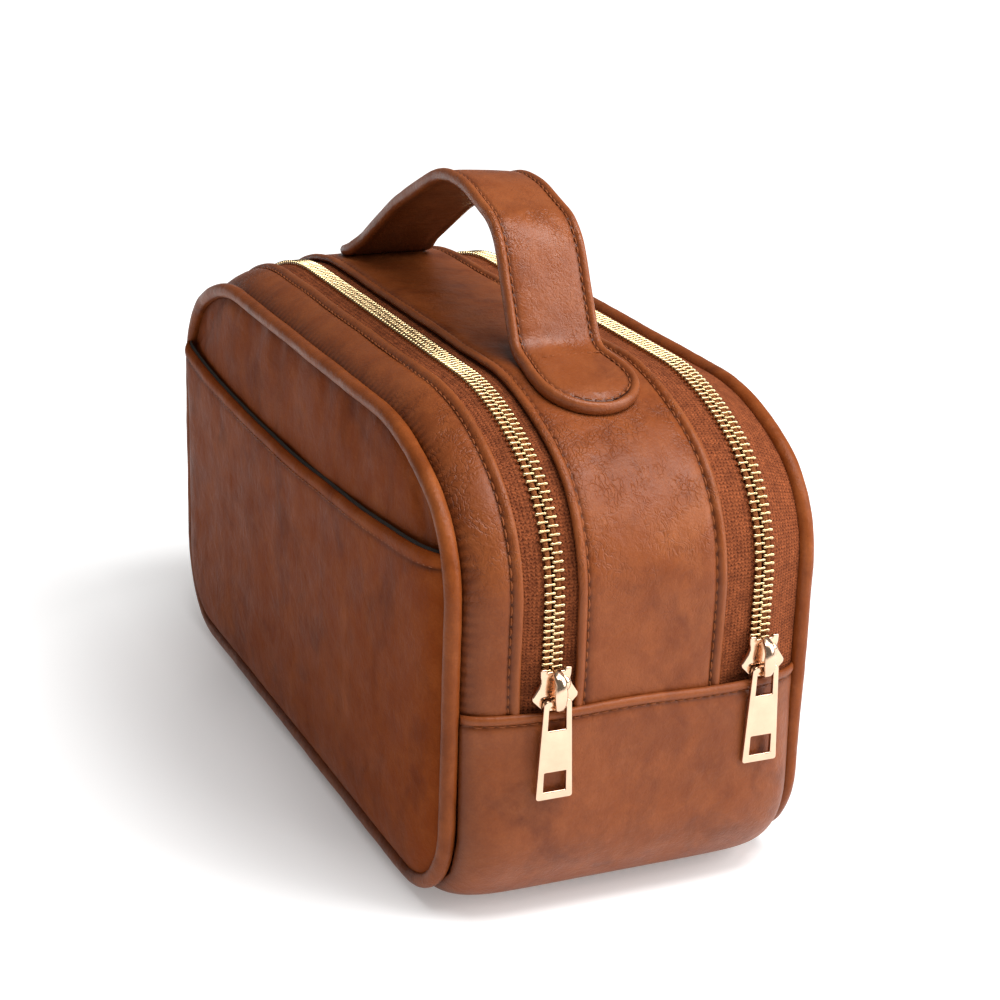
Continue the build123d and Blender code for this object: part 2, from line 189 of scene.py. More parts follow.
def make_object(name, points, faces, material, tone=None, uv=None, bend=None, weld=False):
    """A smooth mesh object from points in millimetres. Its painted shading (painted shade and
    painted highlight) and bend go to the shader.
    """
    mesh = bpy.data.meshes.new(name)
    mesh.from_pydata((np.asarray(points, float).reshape(-1, 3) * MM).tolist(), [], faces)
    mesh.update()
    for label, values in (("tone", tone), ("bend", bend)):
        if values is not None:
            mesh.attributes.new(label, "FLOAT", "POINT").data.foreach_set(
                "value", np.asarray(values, np.float32).ravel())
    if uv is not None:
        layer = mesh.uv_layers.new(name="UVMap")
        index = np.zeros(len(mesh.loops), int)
        mesh.loops.foreach_get("vertex_index", index)
        layer.data.foreach_set("uv", np.asarray(uv, np.float32).reshape(-1, 2)[index].ravel())
    clean(mesh, material, *((0.01, 0.005) if weld else ()))
    return add_object(name, mesh)


def grid_faces(rows, columns, close_rows=False, close_columns=False, start=0):
    """Quads of a rows x columns grid of points, closed round in either way."""
    faces = []
    for i in range(rows if close_rows else rows - 1):
        for j in range(columns if close_columns else columns - 1):
            i2, j2 = (i + 1) % rows, (j + 1) % columns
            faces.append((start + i * columns + j, start + i * columns + j2,
                          start + i2 * columns + j2, start + i2 * columns + j))
    return faces


def capped_grid(rows, columns):
    """Faces of a tube of rows x columns points, closed round each row, with both ends capped."""
    faces = grid_faces(rows, columns, close_columns=True)
    faces.append(tuple(range(columns)))
    faces.append(tuple((rows - 1) * columns + j for j in reversed(range(columns))))
    return faces


def steps(a, b, size):
    """Even steps from a to b, about size apart."""
    return np.linspace(a, b, max(2, int(round(abs(b - a) / size)) + 1))


def rounded(points, radii, closed=True, step_deg=12):
    """A polyline with each corner rounded to its radius."""
    p = [np.array(q, float) for q in points]
    out = []
    for k, b in enumerate(p):
        if not closed and k in (0, len(p) - 1):
            out.append(b)
            continue
        u, v = (q - b for q in (p[k - 1], p[(k + 1) % len(p)]))
        u, v = u / np.linalg.norm(u), v / np.linalg.norm(v)
        half = math.acos(max(-1.0, min(1.0, float(u @ v)))) / 2
        radius = radii[k] if hasattr(radii, "__len__") else radii
        turn = math.pi - 2 * half
        centre = b + (u + v) / np.linalg.norm(u + v) * radius / math.sin(half)
        start, end = (b + w * radius / math.tan(half) - centre for w in (u, v))
        count = max(2, math.ceil(math.degrees(turn) / step_deg))
        for t in np.linspace(0, 1, count + 1):
            arm = (math.sin((1 - t) * turn) * start + math.sin(t * turn) * end) / math.sin(turn)
            out.append(centre + arm)
    return np.array(out)


def resample(points, spacing):
    """A polyline's points moved to even spacing, and how far along each one is."""
    points = np.asarray(points, float)
    gone = np.concatenate([[0], np.cumsum(np.linalg.norm(np.diff(points, axis=0), axis=1))])
    at = steps(0, gone[-1], spacing)
    return np.stack([np.interp(at, gone, column) for column in points.T], -1), at


def ripple(points, size, seed):
    """Smooth noise from -1 to 1 at each point, with features of about size."""
    flat = np.asarray(points, float).reshape(-1, 3) / size + seed * 17.3
    return np.array([noise.noise(Vector(p)) for p in flat]).reshape(np.shape(points)[:-1])


# ---- Materials ------------------------------------------------------------------------------
class Shader:
    """A node material with a few helpers, so that each material reads as a short recipe."""

    def __init__(self, name):
        self.material = bpy.data.materials.new(name)
        self.material.use_nodes = True
        self.tree = self.material.node_tree

    def feed(self, socket, value):
        """Puts a number, a vector or a colour in a socket, or links another node's output to it."""
        if isinstance(value, (int, float)):
            socket.default_value = value
        elif isinstance(value, tuple):
            socket.default_value = (*value, 1)[:len(socket.default_value)]
        else:
            self.tree.links.new(value, socket)

    def node(self, kind, **values):
        """A new node. A value goes to the input of that name, or else to the node's setting."""
        made = self.tree.nodes.new(kind)
        for key, value in values.items():
            if key in made.inputs:
                self.feed(made.inputs[key], value)
            else:
                setattr(made, key, value)
        return made

    def finish(self, **values):
        """Feeds the surface's inputs, a _ standing for a space, and gives the material."""
        surface = self.tree.nodes["Principled BSDF"]
        for key, value in values.items():
            self.feed(surface.inputs[key.replace("_", " ")], value)
        return self.material

    def noise(self, coords, scale, detail=3.0, roughness=0.55, distortion=0.0):
        return self.node("ShaderNodeTexNoise", Vector=coords, Scale=scale, Detail=detail,
                         Roughness=roughness, Distortion=distortion).outputs["Fac"]

    def voronoi(self, coords, scale, feature="F1"):
        return self.node("ShaderNodeTexVoronoi", feature=feature, Vector=coords,
                         Scale=scale).outputs["Distance"]

    def ramp(self, value, stops):
        made = self.node("ShaderNodeValToRGB", Fac=value)
        elements = made.color_ramp.elements
        while len(elements) < len(stops):
            elements.new(0.5)
        for element, (place, colour) in zip(elements, stops):
            element.position = place
            element.color = (*colour, 1) if hasattr(colour, "__len__") else (colour,) * 3 + (1,)
        return made.outputs["Color"]

    def math(self, operation, a, b=0.0):
        made = self.node("ShaderNodeMath", operation=operation)
        self.feed(made.inputs[0], a)
        self.feed(made.inputs[1], b)
        return made.outputs[0]

    def vector(self, operation, *values):
        made = self.node("ShaderNodeVectorMath", operation=operation)
        for socket, value in zip(made.inputs, values):
            self.feed(socket, value)
        return made.outputs

    def mix(self, factor, a, b):
        made = self.node("ShaderNodeMix", data_type="RGBA")
        for k, value in ((0, factor), (6, a), (7, b)):
            self.feed(made.inputs[k], value)
        return made.outputs[2]

    def bump(self, height, distance, strength, under=None):
        made = self.node("ShaderNodeBump", Height=height, Distance=distance, Strength=strength)
        if under is not None:
            self.feed(made.inputs["Normal"], under)
        return made.outputs["Normal"]

    def coords(self, stretch=(1, 1, 1), warp=0.0, warp_scale=40.0):
        place = self.node("ShaderNodeTexCoord").outputs["Object"]
        mapped = self.node("ShaderNodeMapping", Vector=place, Scale=stretch).outputs["Vector"]
        if not warp:
            return mapped
        wander = self.node("ShaderNodeTexNoise", Vector=place, Scale=warp_scale, Detail=2.0)
        return self.vector("MULTIPLY_ADD", wander.outputs["Color"], (warp,) * 3, mapped)["Vector"]

    def attribute(self, name):
        return self.node("ShaderNodeAttribute", attribute_name=name).outputs["Fac"]


def leather(name, dark, middle, light, gloss=0.42, shine=0.2, crease=1.0):
    """Mottled pull-up leather: patches of colour, fine pores, faint wrinkles, painted shade in
    hollows and painted highlight on rims.
    """
    m = Shader(name)
    plain = m.coords()
    warped = m.coords(warp=0.02, warp_scale=25.0)
    base = m.ramp(m.noise(warped, 26.0, 5.0, 0.6, 0.5),
                  [(0.28, dark), (0.45, middle), (0.58, middle), (0.76, light)])
    streaked = m.coords(stretch=(1.0, 1.0, 0.35), warp=0.03)
    # Clouds, streaks and specks: the pattern, where it starts and is full, strength and colour
    for pattern, low, full, strength, colour in (
            (m.noise(plain, 120.0, 4.0, 0.65, 0.3), 0.38, 0.75, 0.5, light),
            (m.noise(streaked, 70.0, 4.0, 0.6), 0.5, 0.75, 0.6, dark),
            (m.noise(plain, 1500.0, 2.0), 0.35, 0.8, 0.25, dark)):
        base = m.mix(m.ramp(pattern, [(low, 0.0), (full, strength)]), base, colour)
    # Painted shading from the mesh: below 0 it mixes in painted shade (0.3 x dark), above 0 a
    # painted highlight in the light colour.
    tone = m.attribute("tone")
    shade = tuple(0.3 * c for c in dark)
    base = m.mix(m.ramp(m.math("MULTIPLY", tone, -1.0), [(0.0, 0.0), (1.0, 0.85)]), base, shade)
    base = m.mix(m.ramp(tone, [(0.0, 0.0), (1.0, 0.3)]), base, light)
    bend = m.math("MULTIPLY", m.attribute("bend"), crease)
    place = m.coords(stretch=(1.0, 1.8, 1.0), warp=0.012, warp_scale=190.0)
    lines = m.ramp(m.voronoi(place, 330.0, "DISTANCE_TO_EDGE"), [(0.0, 0.0), (0.16, 1.0)])
    patchy = m.ramp(m.noise(warped, 95.0, 3.0), [(0.42, 0.0), (0.62, 1.0)])
    amount = m.math("MULTIPLY", m.math("ADD", bend, 0.12 * crease), patchy)
    folds = m.mix(amount, (1.0, 1.0, 1.0), lines)
    # Painted shade along the crease lines: the colour darkens towards dark where the folds cut in.
    base = m.mix(m.math("MULTIPLY", m.math("SUBTRACT", 1.0, folds), 0.22), base, dark)
    rough = m.ramp(m.noise(plain, 90.0, 4.0), [(0.3, gloss - 0.07), (0.7, gloss + 0.09)])
    pores = m.voronoi(m.coords(warp=0.002, warp_scale=500.0), 1500.0)
    normal = m.bump(folds, 0.00027, 0.6, m.bump(pores, 0.0001, 0.5))
    lie = m.noise(m.coords(warp=0.01, warp_scale=60.0), 210.0, 5.0, 0.6)
    return m.finish(Base_Color=base, Roughness=rough, Specular_IOR_Level=shine,
                    Normal=m.bump(lie, 0.0008, 0.5, normal))


def knitted(name, dark, light, pitch):
    """Knitted tape. Its columns of loops run along the UV map, which is in millimetres."""
    m = Shader(name)
    uv = m.node("ShaderNodeUVMap", uv_map="UVMap").outputs["UV"]
    wander = m.node("ShaderNodeTexNoise", Vector=uv, Scale=0.9, Detail=3.0).outputs["Color"]
    shifted = m.vector("MULTIPLY_ADD", wander, (0.9 * pitch,) * 3, uv)["Vector"]
    split = m.node("ShaderNodeSeparateXYZ", Vector=shifted).outputs
    column = m.math("MULTIPLY", split["Y"], 1 / pitch)
    arm = m.math("ABSOLUTE", m.math("SUBTRACT", m.math("FRACT", column), 0.5))
    row = m.math("ADD", m.math("MULTIPLY", split["X"], 1.3 / pitch), arm)
    loops = m.math("ABSOLUTE", m.math("SUBTRACT", m.math("FRACT", row), 0.5))
    height = m.math("ADD", m.math("MULTIPLY", loops, 1.2), m.math("MULTIPLY", arm, 0.8))
    fuzz = m.noise(m.coords(), 1500.0, 5.0, 0.75)
    worn = m.noise(m.coords(), 260.0, 4.0)
    blurred = m.math("ADD", m.math("MULTIPLY", height, 0.4), m.math("MULTIPLY", fuzz, 0.65))
    # Colour follows the loops' height: painted shade between the loops and lighter loop tops.
    colour = m.ramp(blurred, [(0.3, dark), (0.85, light)])
    colour = m.mix(m.ramp(fuzz, [(0.52, 0.0), (0.75, 0.7)]), colour, light)
    colour = m.mix(m.ramp(worn, [(0.35, 0.4), (0.6, 0.0)]), colour, dark)
    return m.finish(Base_Color=colour, Roughness=0.8, Specular_IOR_Level=0.08,
                    Normal=m.bump(fuzz, 0.0003, 0.8, m.bump(height, 0.0003, 0.7)))


def woven(name, dark, light, pitch):
    """Plain-weave cloth in the object's own directions, so that it needs no UV map."""
    m = Shader(name)
    split = m.node("ShaderNodeSeparateXYZ", Vector=m.coords()).outputs
    turns = 2000 * math.pi / pitch
    level = m.math("ADD", split["X"], split["Y"])
    warp = m.math("SINE", m.math("MULTIPLY", level, turns))
    weft = m.math("SINE", m.math("MULTIPLY", split["Z"], turns))
    height = m.math("MULTIPLY", m.math("ADD", m.math("MULTIPLY", warp, weft), 1.0), 0.5)
    fuzz = m.noise(m.coords(), 2200.0, 3.0)
    # Colour follows the weave's height: painted shade in the gaps between the threads.
    colour = m.mix(m.ramp(fuzz, [(0.4, 0.0), (0.75, 0.6)]),
                   m.ramp(height, [(0.1, dark), (0.9, light)]), light)
    return m.finish(Base_Color=colour, Roughness=0.7, Specular_IOR_Level=0.15,
                    Normal=m.bump(fuzz, 0.0001, 0.5, m.bump(height, 0.00015, 0.9)))


def metal(name, colour, roughness):
    """Plated metal with a fine orange-peel and faint handling marks."""
    m = Shader(name)
    marks = m.noise(m.coords(stretch=(1, 1, 0.2)), 900.0, 4.0, 0.7)
    tint = m.ramp(m.noise(m.coords(), 200.0, 2.0),
                  [(0.3, tuple(0.9 * c for c in colour)), (0.7, colour)])
    return m.finish(Base_Color=tint, Metallic=1.0,
                    Roughness=m.ramp(marks, [(0.3, roughness), (0.75, roughness + 0.1)]),
                    Normal=m.bump(m.noise(m.coords(), 500.0, 3.0), 0.00006, 0.25))


def board(name, colour):
    """Pressed fibre board, seen only if the base is opened up."""
    m = Shader(name)
    fibres = m.noise(m.coords(stretch=(0.3, 1, 1)), 900.0, 5.0)
    tint = m.ramp(fibres, [(0.3, tuple(0.7 * c for c in colour)), (0.7, colour)])
    return m.finish(Base_Color=tint, Roughness=0.85, Normal=m.bump(fibres, 0.0002, 0.5))


WALL_LEATHER = leather("wall_leather", (0.100, 0.020, 0.004), (0.198, 0.046, 0.009),
                       (0.29, 0.083, 0.022), shine=0.22)
PANEL_LEATHER = leather("panel_leather", (0.095, 0.017, 0.003), (0.185, 0.036, 0.005),
                        (0.27, 0.068, 0.014), gloss=0.45, shine=0.02, crease=0.7)
PIPING_LEATHER = leather("piping_leather", (0.085, 0.017, 0.003), (0.180, 0.040, 0.007),
                         (0.29, 0.080, 0.020), gloss=0.36, shine=0.12, crease=0.4)
HANDLE_LEATHER = leather("handle_leather", (0.100, 0.020, 0.004), (0.205, 0.049, 0.010),
                         (0.30, 0.088, 0.025), gloss=0.36, shine=0.3, crease=1.1)
THREAD = leather("thread", (0.11, 0.026, 0.007), (0.23, 0.064, 0.020), (0.36, 0.120, 0.045),
                 gloss=0.5, shine=0.1, crease=0.0)
TAPE_CLOTH = knitted("tape_cloth", (0.055, 0.011, 0.004), (0.41, 0.112, 0.038), 1.25)
BEAD_CLOTH = knitted("bead_cloth", (0.12, 0.030, 0.008), (0.38, 0.14, 0.045), 0.9)
LINING_CLOTH = woven("lining_cloth", (0.010, 0.009, 0.008), (0.045, 0.038, 0.033), 0.9)
BRASS = metal("zip_brass", (0.60, 0.43, 0.225), 0.2)
GOLD = metal("polished_gold", (0.72, 0.50, 0.35), 0.12)
BOARD = board("fibre_board", (0.10, 0.085, 0.07))


# ---- Sewn edges and stitches ----------------------------------------------------------------
# A folded edge, from underneath, round the edge, over the rim and through the stitched groove.
# Each point is (way in from the edge, height above the skin, painted shading). Painted shading
# below 0 is painted shade under the fold and in the stitched groove, above 0 a painted highlight on
# the rim's crest.
RIM = [(3.0, -1.5, 0.0), (1.2, -1.5, 0.0), (0.25, -1.05, -0.3), (0.0, -0.35, 0.0),
       (0.25, 0.35, 0.4), (0.9, 0.8, 0.8), (1.7, 0.85, 0.7), (2.4, 0.5, 0.1), (2.95, -0.1, -0.7),
       (3.25, -0.4, -1.0), (3.6, -0.25, -0.6), (4.4, 0.08, 0.0), (6.0, 0.2, 0.1)]
GROOVE_IN, GROOVE_HEIGHT = 3.25, -0.3
# The edge that goes down into the piped seam, with painted shade that is deepest in the seam
TUCKED = [(2.0, -1.8, -0.5), (0.2, -2.6, -0.8), (0.0, -2.3, -1.0), (0.8, -1.6, -0.9),
          (2.2, -0.8, -0.5), (4.5, -0.2, -0.15), (7.0, 0.1, 0.0)]
STITCH_PITCH = 3.1
STITCH_LENGTH = 2.3
STITCH_R = 0.3
STITCH_STEP = STITCH_PITCH / 4


def hole_share(way):
    """1 at the needle holes between stitches and 0 in the middle of a stitch."""
    gap = (STITCH_PITCH - STITCH_LENGTH) / 2
    return 0.5 + 0.5 * np.cos(2 * math.pi * (way + gap) / STITCH_PITCH)


def needle_hole_shade(tone, way):
    """Painted shade: a seam's groove is painted darkest at its needle holes."""
    return np.where(tone < -0.25, tone * (0.4 + 0.6 * hole_share(way)), tone)


def strip_section(y_from, edge_from, y_to, edge_to, spacing=1.6):
    """Closed section (y, height, painted shading) of a strip from y_from to y_to with the given
    edges.
    """
    first = [(y_from + d, h, t) for d, h, t in edge_from]
    last = [(y_to - d, h, t) for d, h, t in reversed(edge_to)]
    middle_y = steps(first[-1][0], last[0][0], spacing)[1:-1]
    h0, h1 = first[-1][1], last[0][1]
    middle = [(y, h0 + (h1 - h0) * k / (len(middle_y) + 1), 0.0)
              for k, y in enumerate(middle_y, 1)]
    under = [(y, min(first[0][1], last[-1][1]), 0.0)
             for y in steps(last[-1][0], first[0][0], 2 * spacing)[1:-1]]
    return np.array(first + middle + last + under)


def bending(s):
    """How much the wall bends at s, from 0 on the flats to 1 in the shoulders."""
    middle, reach = (MARKS[3] + MARKS[5]) / 2, (MARKS[5] - MARKS[3]) / 2
    return np.exp(-((folded(s)[0] - middle) / reach) ** 4)


def edge_wander(s, seed):
    """How far a sewn edge strays from a straight line at s."""
    return 0.35 * ripple(np.stack([s, 0 * s, 0 * s], -1), 23.0, seed)


def wall_strip(name, section, s_values, material, wander=1.0, lumps=0.35, seed=1):
    """A strip of leather round the bag with a closed section, gently uneven."""
    s, y, h = s_values[:, None], section[None, :, 0], section[None, :, 1]
    points = wall_points(s, y, h)
    edge_shift = wander * edge_wander(s_values, seed)[:, None]
    lift = lumps * ripple(points, 26.0, seed + 1) + 0.4 * lumps * ripple(points, 9.0, seed + 2)
    way = s - s_values[0]
    pucker = 0.25 * hole_share(way) * ((section[None, :, 2] < -0.4) & (h > -0.6))
    points = wall_points(s, y + edge_shift, h + lift - pucker)
    rows, columns = len(s_values), len(section)
    tone = needle_hole_shade(np.broadcast_to(section[None, :, 2], (rows, columns)), way)
    return make_object(name, points, capped_grid(rows, columns), material, tone,
                       bend=np.broadcast_to(bending(s), (rows, columns)))


def stitch_row(name, starts, ends, normals):
    """One thread per start and end point: a short bent capsule that dives in at both ends."""
    rings, sides = 7, 6
    points, faces = [], []
    for a, b, n in zip(starts, ends, normals):
        a, b, n = (np.asarray(v, float) for v in (a, b, n))
        along = b - a
        side = np.cross(along / np.linalg.norm(along), n)
        base = len(points)
        for i in range(rings):
            t = i / (rings - 1)
            centre = a + along * t + n * (0.28 * math.sin(math.pi * t) - 0.12)
            r = STITCH_R * (0.35 + 0.65 * math.sin(math.pi * min(max(t, 0.08), 0.92)) ** 0.5)
            for j in range(sides):
                q = 2 * math.pi * j / sides
                points.append(centre + r * (side * math.cos(q) + n * math.sin(q)))
        faces += [tuple(base + v for v in f) for f in capped_grid(rings, sides)]
    return make_object(name, points, faces, THREAD)


def wall_stitches(name, line_y, seed):
    """Stitches along the wall at line_y, on the strip that was made with this seed."""
    s = np.arange(S_TUCK + 2 * STITCH_PITCH, S_OVER - S_TUCK - 6, STITCH_PITCH)
    y = line_y + edge_wander(s, seed)
    starts, middles, ends = (wall_points(s + share * STITCH_LENGTH, y, GROOVE_HEIGHT)
                             for share in (0, 0.5, 1))
    above = wall_points(s + STITCH_LENGTH / 2, y, GROOVE_HEIGHT + 1)
    return stitch_row(name, starts, ends, above - middles)


# ---- Binding pieces to the frame ------------------------------------------------------------
def fixed(piece, body, slot, *nodes):
    """piece rides on body and stands for the CAD nodes. slot is not used."""
    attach(piece, body)
    if nodes:
        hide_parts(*nodes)
    return piece


def folding(piece, flap, slot, *nodes):
    """piece's placing is baked into its mesh, and it stands for the CAD nodes. flap is not used."""
    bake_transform(piece)
    if nodes:
        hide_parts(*nodes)
    return piece


S_FOLD = way_at(FOLD_Z)
S_TUCK = way_at(TUCK_Z)
S_OVER = 2 * HALF_WAY        # the way round to where it starts again


def build_gussets():
    """Centre gusset and front gusset, with folded rims along the zips."""
    s_values = np.arange(S_TUCK, S_OVER - S_TUCK, STITCH_STEP)
    section = strip_section(GUSSET_LOW_Y, RIM, GUSSET_HIGH_Y, RIM)
    fixed(wall_strip("centre_gusset_leather", section, s_values, WALL_LEATHER, seed=3),
          "bag_body", "leather", "centre_gusset")
    for name, y in (("centre_gusset_stitches_front", GUSSET_LOW_Y + GROOVE_IN),
                    ("centre_gusset_stitches_back", GUSSET_HIGH_Y - GROOVE_IN)):
        fixed(wall_stitches(name, y, 3), "bag_body", "leather")
    section = strip_section(-SEAM_Y + 2.4, TUCKED, FRONT_GUSSET_Y, RIM)
    folding(wall_strip("front_gusset_leather", section, s_values, WALL_LEATHER, seed=5),
            "front_flap", "leather", "front_gusset")
    folding(wall_stitches("front_gusset_stitches", FRONT_GUSSET_Y - GROOVE_IN, 5), "front_flap",
            "leather")


def band_sag(y):
    """How far the band's top edge wanders from a straight line at y."""
    return 0.6 * ripple(np.stack([0 * y, y, 0 * y], -1), 30.0, 12) + 0.4 - 2.4 * (y / SEAM_Y) ** 2


BAND_STAND = 1.5             # how far the band stands out from the wall
BAND_HALF = SEAM_Y - 2.2     # half its width, up to the piping


def build_band():
    """The base band: under the bag and up both ends, its top edges folded and stitched."""
    # The band's rim keeps half of the rim's painted shade and all of its painted highlight.
    right = [(S_FOLD - d, h + BAND_STAND - 0.1, max(t, 0.5 * t)) for d, h, t in RIM]
    outer = right + [(s, BAND_STAND + 0.05, 0.0) for s in steps(right[-1][0], 0, 2.0)[1:]]
    loop = outer + [(-s, h, t) for s, h, t in reversed(outer[:-1])]
    under_s = steps(-right[0][0], right[0][0], 6.0)[1:-1]
    loop = np.array(loop + [(s, 0.0, 0.0) for s in under_s])
    y = np.arange(-BAND_HALF, BAND_HALF, STITCH_STEP)
    y += (BAND_HALF - y[-1]) / 2
    edge_dip = -1.8 * np.exp(-(BAND_HALF - np.abs(y)) / 1.8)
    s, h = loop[None, :, 0], loop[None, :, 1]
    base = wall_points(s, y[:, None], h)
    lift = 0.3 * ripple(base, 30.0, 9) + 0.12 * ripple(base, 10.0, 10)
    on_ground = np.clip((base[..., 2] - 3.0) / 12.0, 0, 1)
    sag = band_sag(y)[:, None] * np.sign(s) * (np.abs(s) > S_FOLD - 9)
    way = (y - y[0])[:, None]
    pucker = 0.25 * hole_share(way) * (loop[None, :, 2] < -0.4)
    points = wall_points(s + sag, y[:, None], h + edge_dip[:, None] + lift * on_ground - pucker)
    points[..., 2] = np.maximum(points[..., 2], 0.0)
    rows, columns = len(y), len(loop)
    tone = needle_hole_shade(np.broadcast_to(loop[None, :, 2], (rows, columns)), way)
    # Painted shade where the band's edge dips down to the piping.
    tone = tone + edge_dip[:, None] / 2.5
    band = make_object("base_band_leather", points, capped_grid(rows, columns), WALL_LEATHER,
                       tone)
    fixed(band, "bag_body", "leather", "base_band")
    for name, sign in (("right", 1), ("left", -1)):
        row = y[4:-8:4]
        s = sign * (S_FOLD - GROOVE_IN + band_sag(row))
        high = GROOVE_HEIGHT + BAND_STAND - 0.1
        starts, ends = wall_points(s, row, high), wall_points(s, row + STITCH_LENGTH, high)
        normals = wall_points(s, row, high + 1) - starts
        fixed(stitch_row(f"base_band_stitches_{name}", starts, ends, normals), "bag_body",
              "leather")


# ---- Panels ---------------------------------------------------------------------------------
def panel_grid(inset, spacing, z_top=None):
    """Points (x, z) inside the side profile in columns, and each one's way in from its edge."""
    edge_s = steps(0, 2 * HALF_WAY, 1.0)[:-1]
    edge = np.stack(outline(edge_s, -inset, -inset), -1)
    half = HALF_LENGTH - inset
    x_values = half * np.sin(steps(-1, 1, spacing / half) * math.pi / 2)
    right_s = steps(0, HALF_WAY, 0.5)
    rx, rz = outline(right_s, -inset, -inset)
    middle = (BASE_LINE + TOP_LINE) / 2
    low = np.interp(np.abs(x_values), rx[rz < middle], rz[rz < middle])
    upper_x, upper_z = rx[rz >= middle][::-1], rz[rz >= middle][::-1]
    high = np.interp(np.abs(x_values), upper_x, upper_z)
    at_end = np.abs(x_values) > half - 0.01
    low[at_end] = BASE_LINE + BASE_CORNER_R
    high[at_end] = END_CENTRE[1]
    if z_top is not None:
        high = np.minimum(high, z_top)
    rows = int((TOP_LINE - BASE_LINE) / spacing)
    share = 0.5 - 0.5 * np.cos(np.linspace(0, math.pi, rows))
    share = 0.35 * share + 0.65 * np.linspace(0, 1, rows)
    x = np.broadcast_to(x_values[:, None], (len(x_values), rows))
    z = low[:, None] + (high - low)[:, None] * share[None, :]
    tree = kdtree.KDTree(len(edge))
    for k, (ex, ez) in enumerate(edge):
        tree.insert((ex, 0, ez), k)
    tree.balance()
    way_in = np.array([tree.find((a, 0, b))[2] for a, b in zip(x.ravel(), z.ravel())])
    return x, z, way_in.reshape(x.shape)


def pad_points(x, z, way_in, side, face_y, back_y, edge_y, swell, reach):
    """Front and back sheets of a pad that is thin at its sewn edge and full in the middle."""
    full = 1 - np.exp(-way_in / reach)
    front = edge_y + (face_y - edge_y) * full + swell * (1 - np.exp(-way_in / 45.0))
    back = np.minimum(edge_y - 1.0, back_y + 0 * x)
    return np.stack([x, side * front, z], -1), np.stack([x, side * back, z], -1)


def join_sheets(front, back):
    """One closed grid from two sheets: points and faces."""
    rows, columns = front.shape[:2]
    points = np.concatenate([front.reshape(-1, 3), back.reshape(-1, 3)])
    start = rows * columns
    faces = grid_faces(rows, columns)
    faces += [tuple(reversed(f)) for f in grid_faces(rows, columns, start=start)]
    rim = [i * columns for i in range(rows)]
    rim += [(rows - 1) * columns + j for j in range(1, columns)]
    rim += [i * columns + columns - 1 for i in range(rows - 2, -1, -1)]
    rim += list(range(columns - 2, 0, -1))
    for a, b in zip(rim, rim[1:] + rim[:1]):
        faces.append((a, start + a, start + b, b))
    return points, faces


def inflate(piece, pinned, pressure, cap):
    """Fills a pad out between its pinned edges, by cap at most: cloth with pressure."""
    group = piece.vertex_groups.new(name="pin")
    group.add([int(i) for i in np.flatnonzero(pinned)], 1.0, "REPLACE")
    before = np.array([v.co for v in piece.data.vertices])
    cloth = piece.modifiers.new("Cloth", "CLOTH")
    settings = cloth.settings
    settings.vertex_group_mass = "pin"
    settings.use_pressure = True
    settings.uniform_pressure_force = pressure
    settings.effector_weights.gravity = 0
    settings.quality = 4
    settings.mass = 0.3
    settings.tension_stiffness = 25
    settings.compression_stiffness = 12
    settings.bending_stiffness = 2
    settings.shrink_min = -0.012
    cloth.collision_settings.use_collision = False
    scene = bpy.context.scene
    for frame_number in range(1, 21):
        scene.frame_set(frame_number)
    graph = bpy.context.evaluated_depsgraph_get()
    after = np.array([v.co for v in piece.evaluated_get(graph).data.vertices])
    piece.modifiers.remove(cloth)
    scene.frame_set(1)
    move = after - before
    length = np.linalg.norm(move, axis=1, keepdims=True)
    limit = cap * MM
    move *= limit * np.tanh(length / limit) / np.maximum(length, 1e-9)
    piece.data.vertices.foreach_set("co", (before + move).ravel())
    piece.data.update()
    piece.vertex_groups.clear()


def subdivide(piece):
    """Applies one level of subdivision surface."""
    piece.modifiers.new("Subdivision", "SUBSURF").levels = 1
    graph = bpy.context.evaluated_depsgraph_get()
    mesh = bpy.data.meshes.new_from_object(piece.evaluated_get(graph))
    piece.modifiers.clear()
    piece.data = mesh
    mesh.shade_smooth()


def roughen(piece, amount, size, seed):
    """Moves the points along their normals by smooth noise, for the lie of real leather."""
    mesh = piece.data
    count = len(mesh.vertices)
    co, normal = np.zeros(count * 3), np.zeros(count * 3)
    mesh.vertices.foreach_get("co", co)
    mesh.vertices.foreach_get("normal", normal)
    co, normal = co.reshape(-1, 3), normal.reshape(-1, 3)
    stretch = np.array([1.0, 1.0, 0.45])
    lift = ripple(co / MM * stretch, size, seed) + 0.4 * ripple(co / MM, size / 2.6, seed + 1)
    mesh.vertices.foreach_set("co", (co + normal * (lift * amount * MM)[:, None]).ravel())
    mesh.update()


def build_big_panel(name, side, face_y, inner_y, flap, nodes, seed):
    """A foam-backed leather panel of one side, sewn in at the piping."""
    x, z, way_in = panel_grid(1.2, 3.2)
    edge_y = SEAM_Y - 0.4
    swell = 2.6 if name == "front" else 1.0
    front, back = pad_points(x, z, way_in, side, face_y, inner_y + 0.9, edge_y, swell, 3.0)
    points, faces = join_sheets(front, back)
    # Painted shade within 5 mm of the sewn edge, where the panel dips into the seam.
    tone = np.concatenate([np.clip(way_in / 5.0 - 1, -1, 0).ravel()] * 2)
    piece = make_object(f"{name}_panel_pad", points, faces, PANEL_LEATHER, tone)
    pinned = np.concatenate([(way_in < 2.0).ravel()] * 2)
    inflate(piece, pinned, 1.2, 1.4)
    subdivide(piece)
    roughen(piece, 0.55, 34.0, seed)
    return folding(piece, flap, "leather", *nodes)


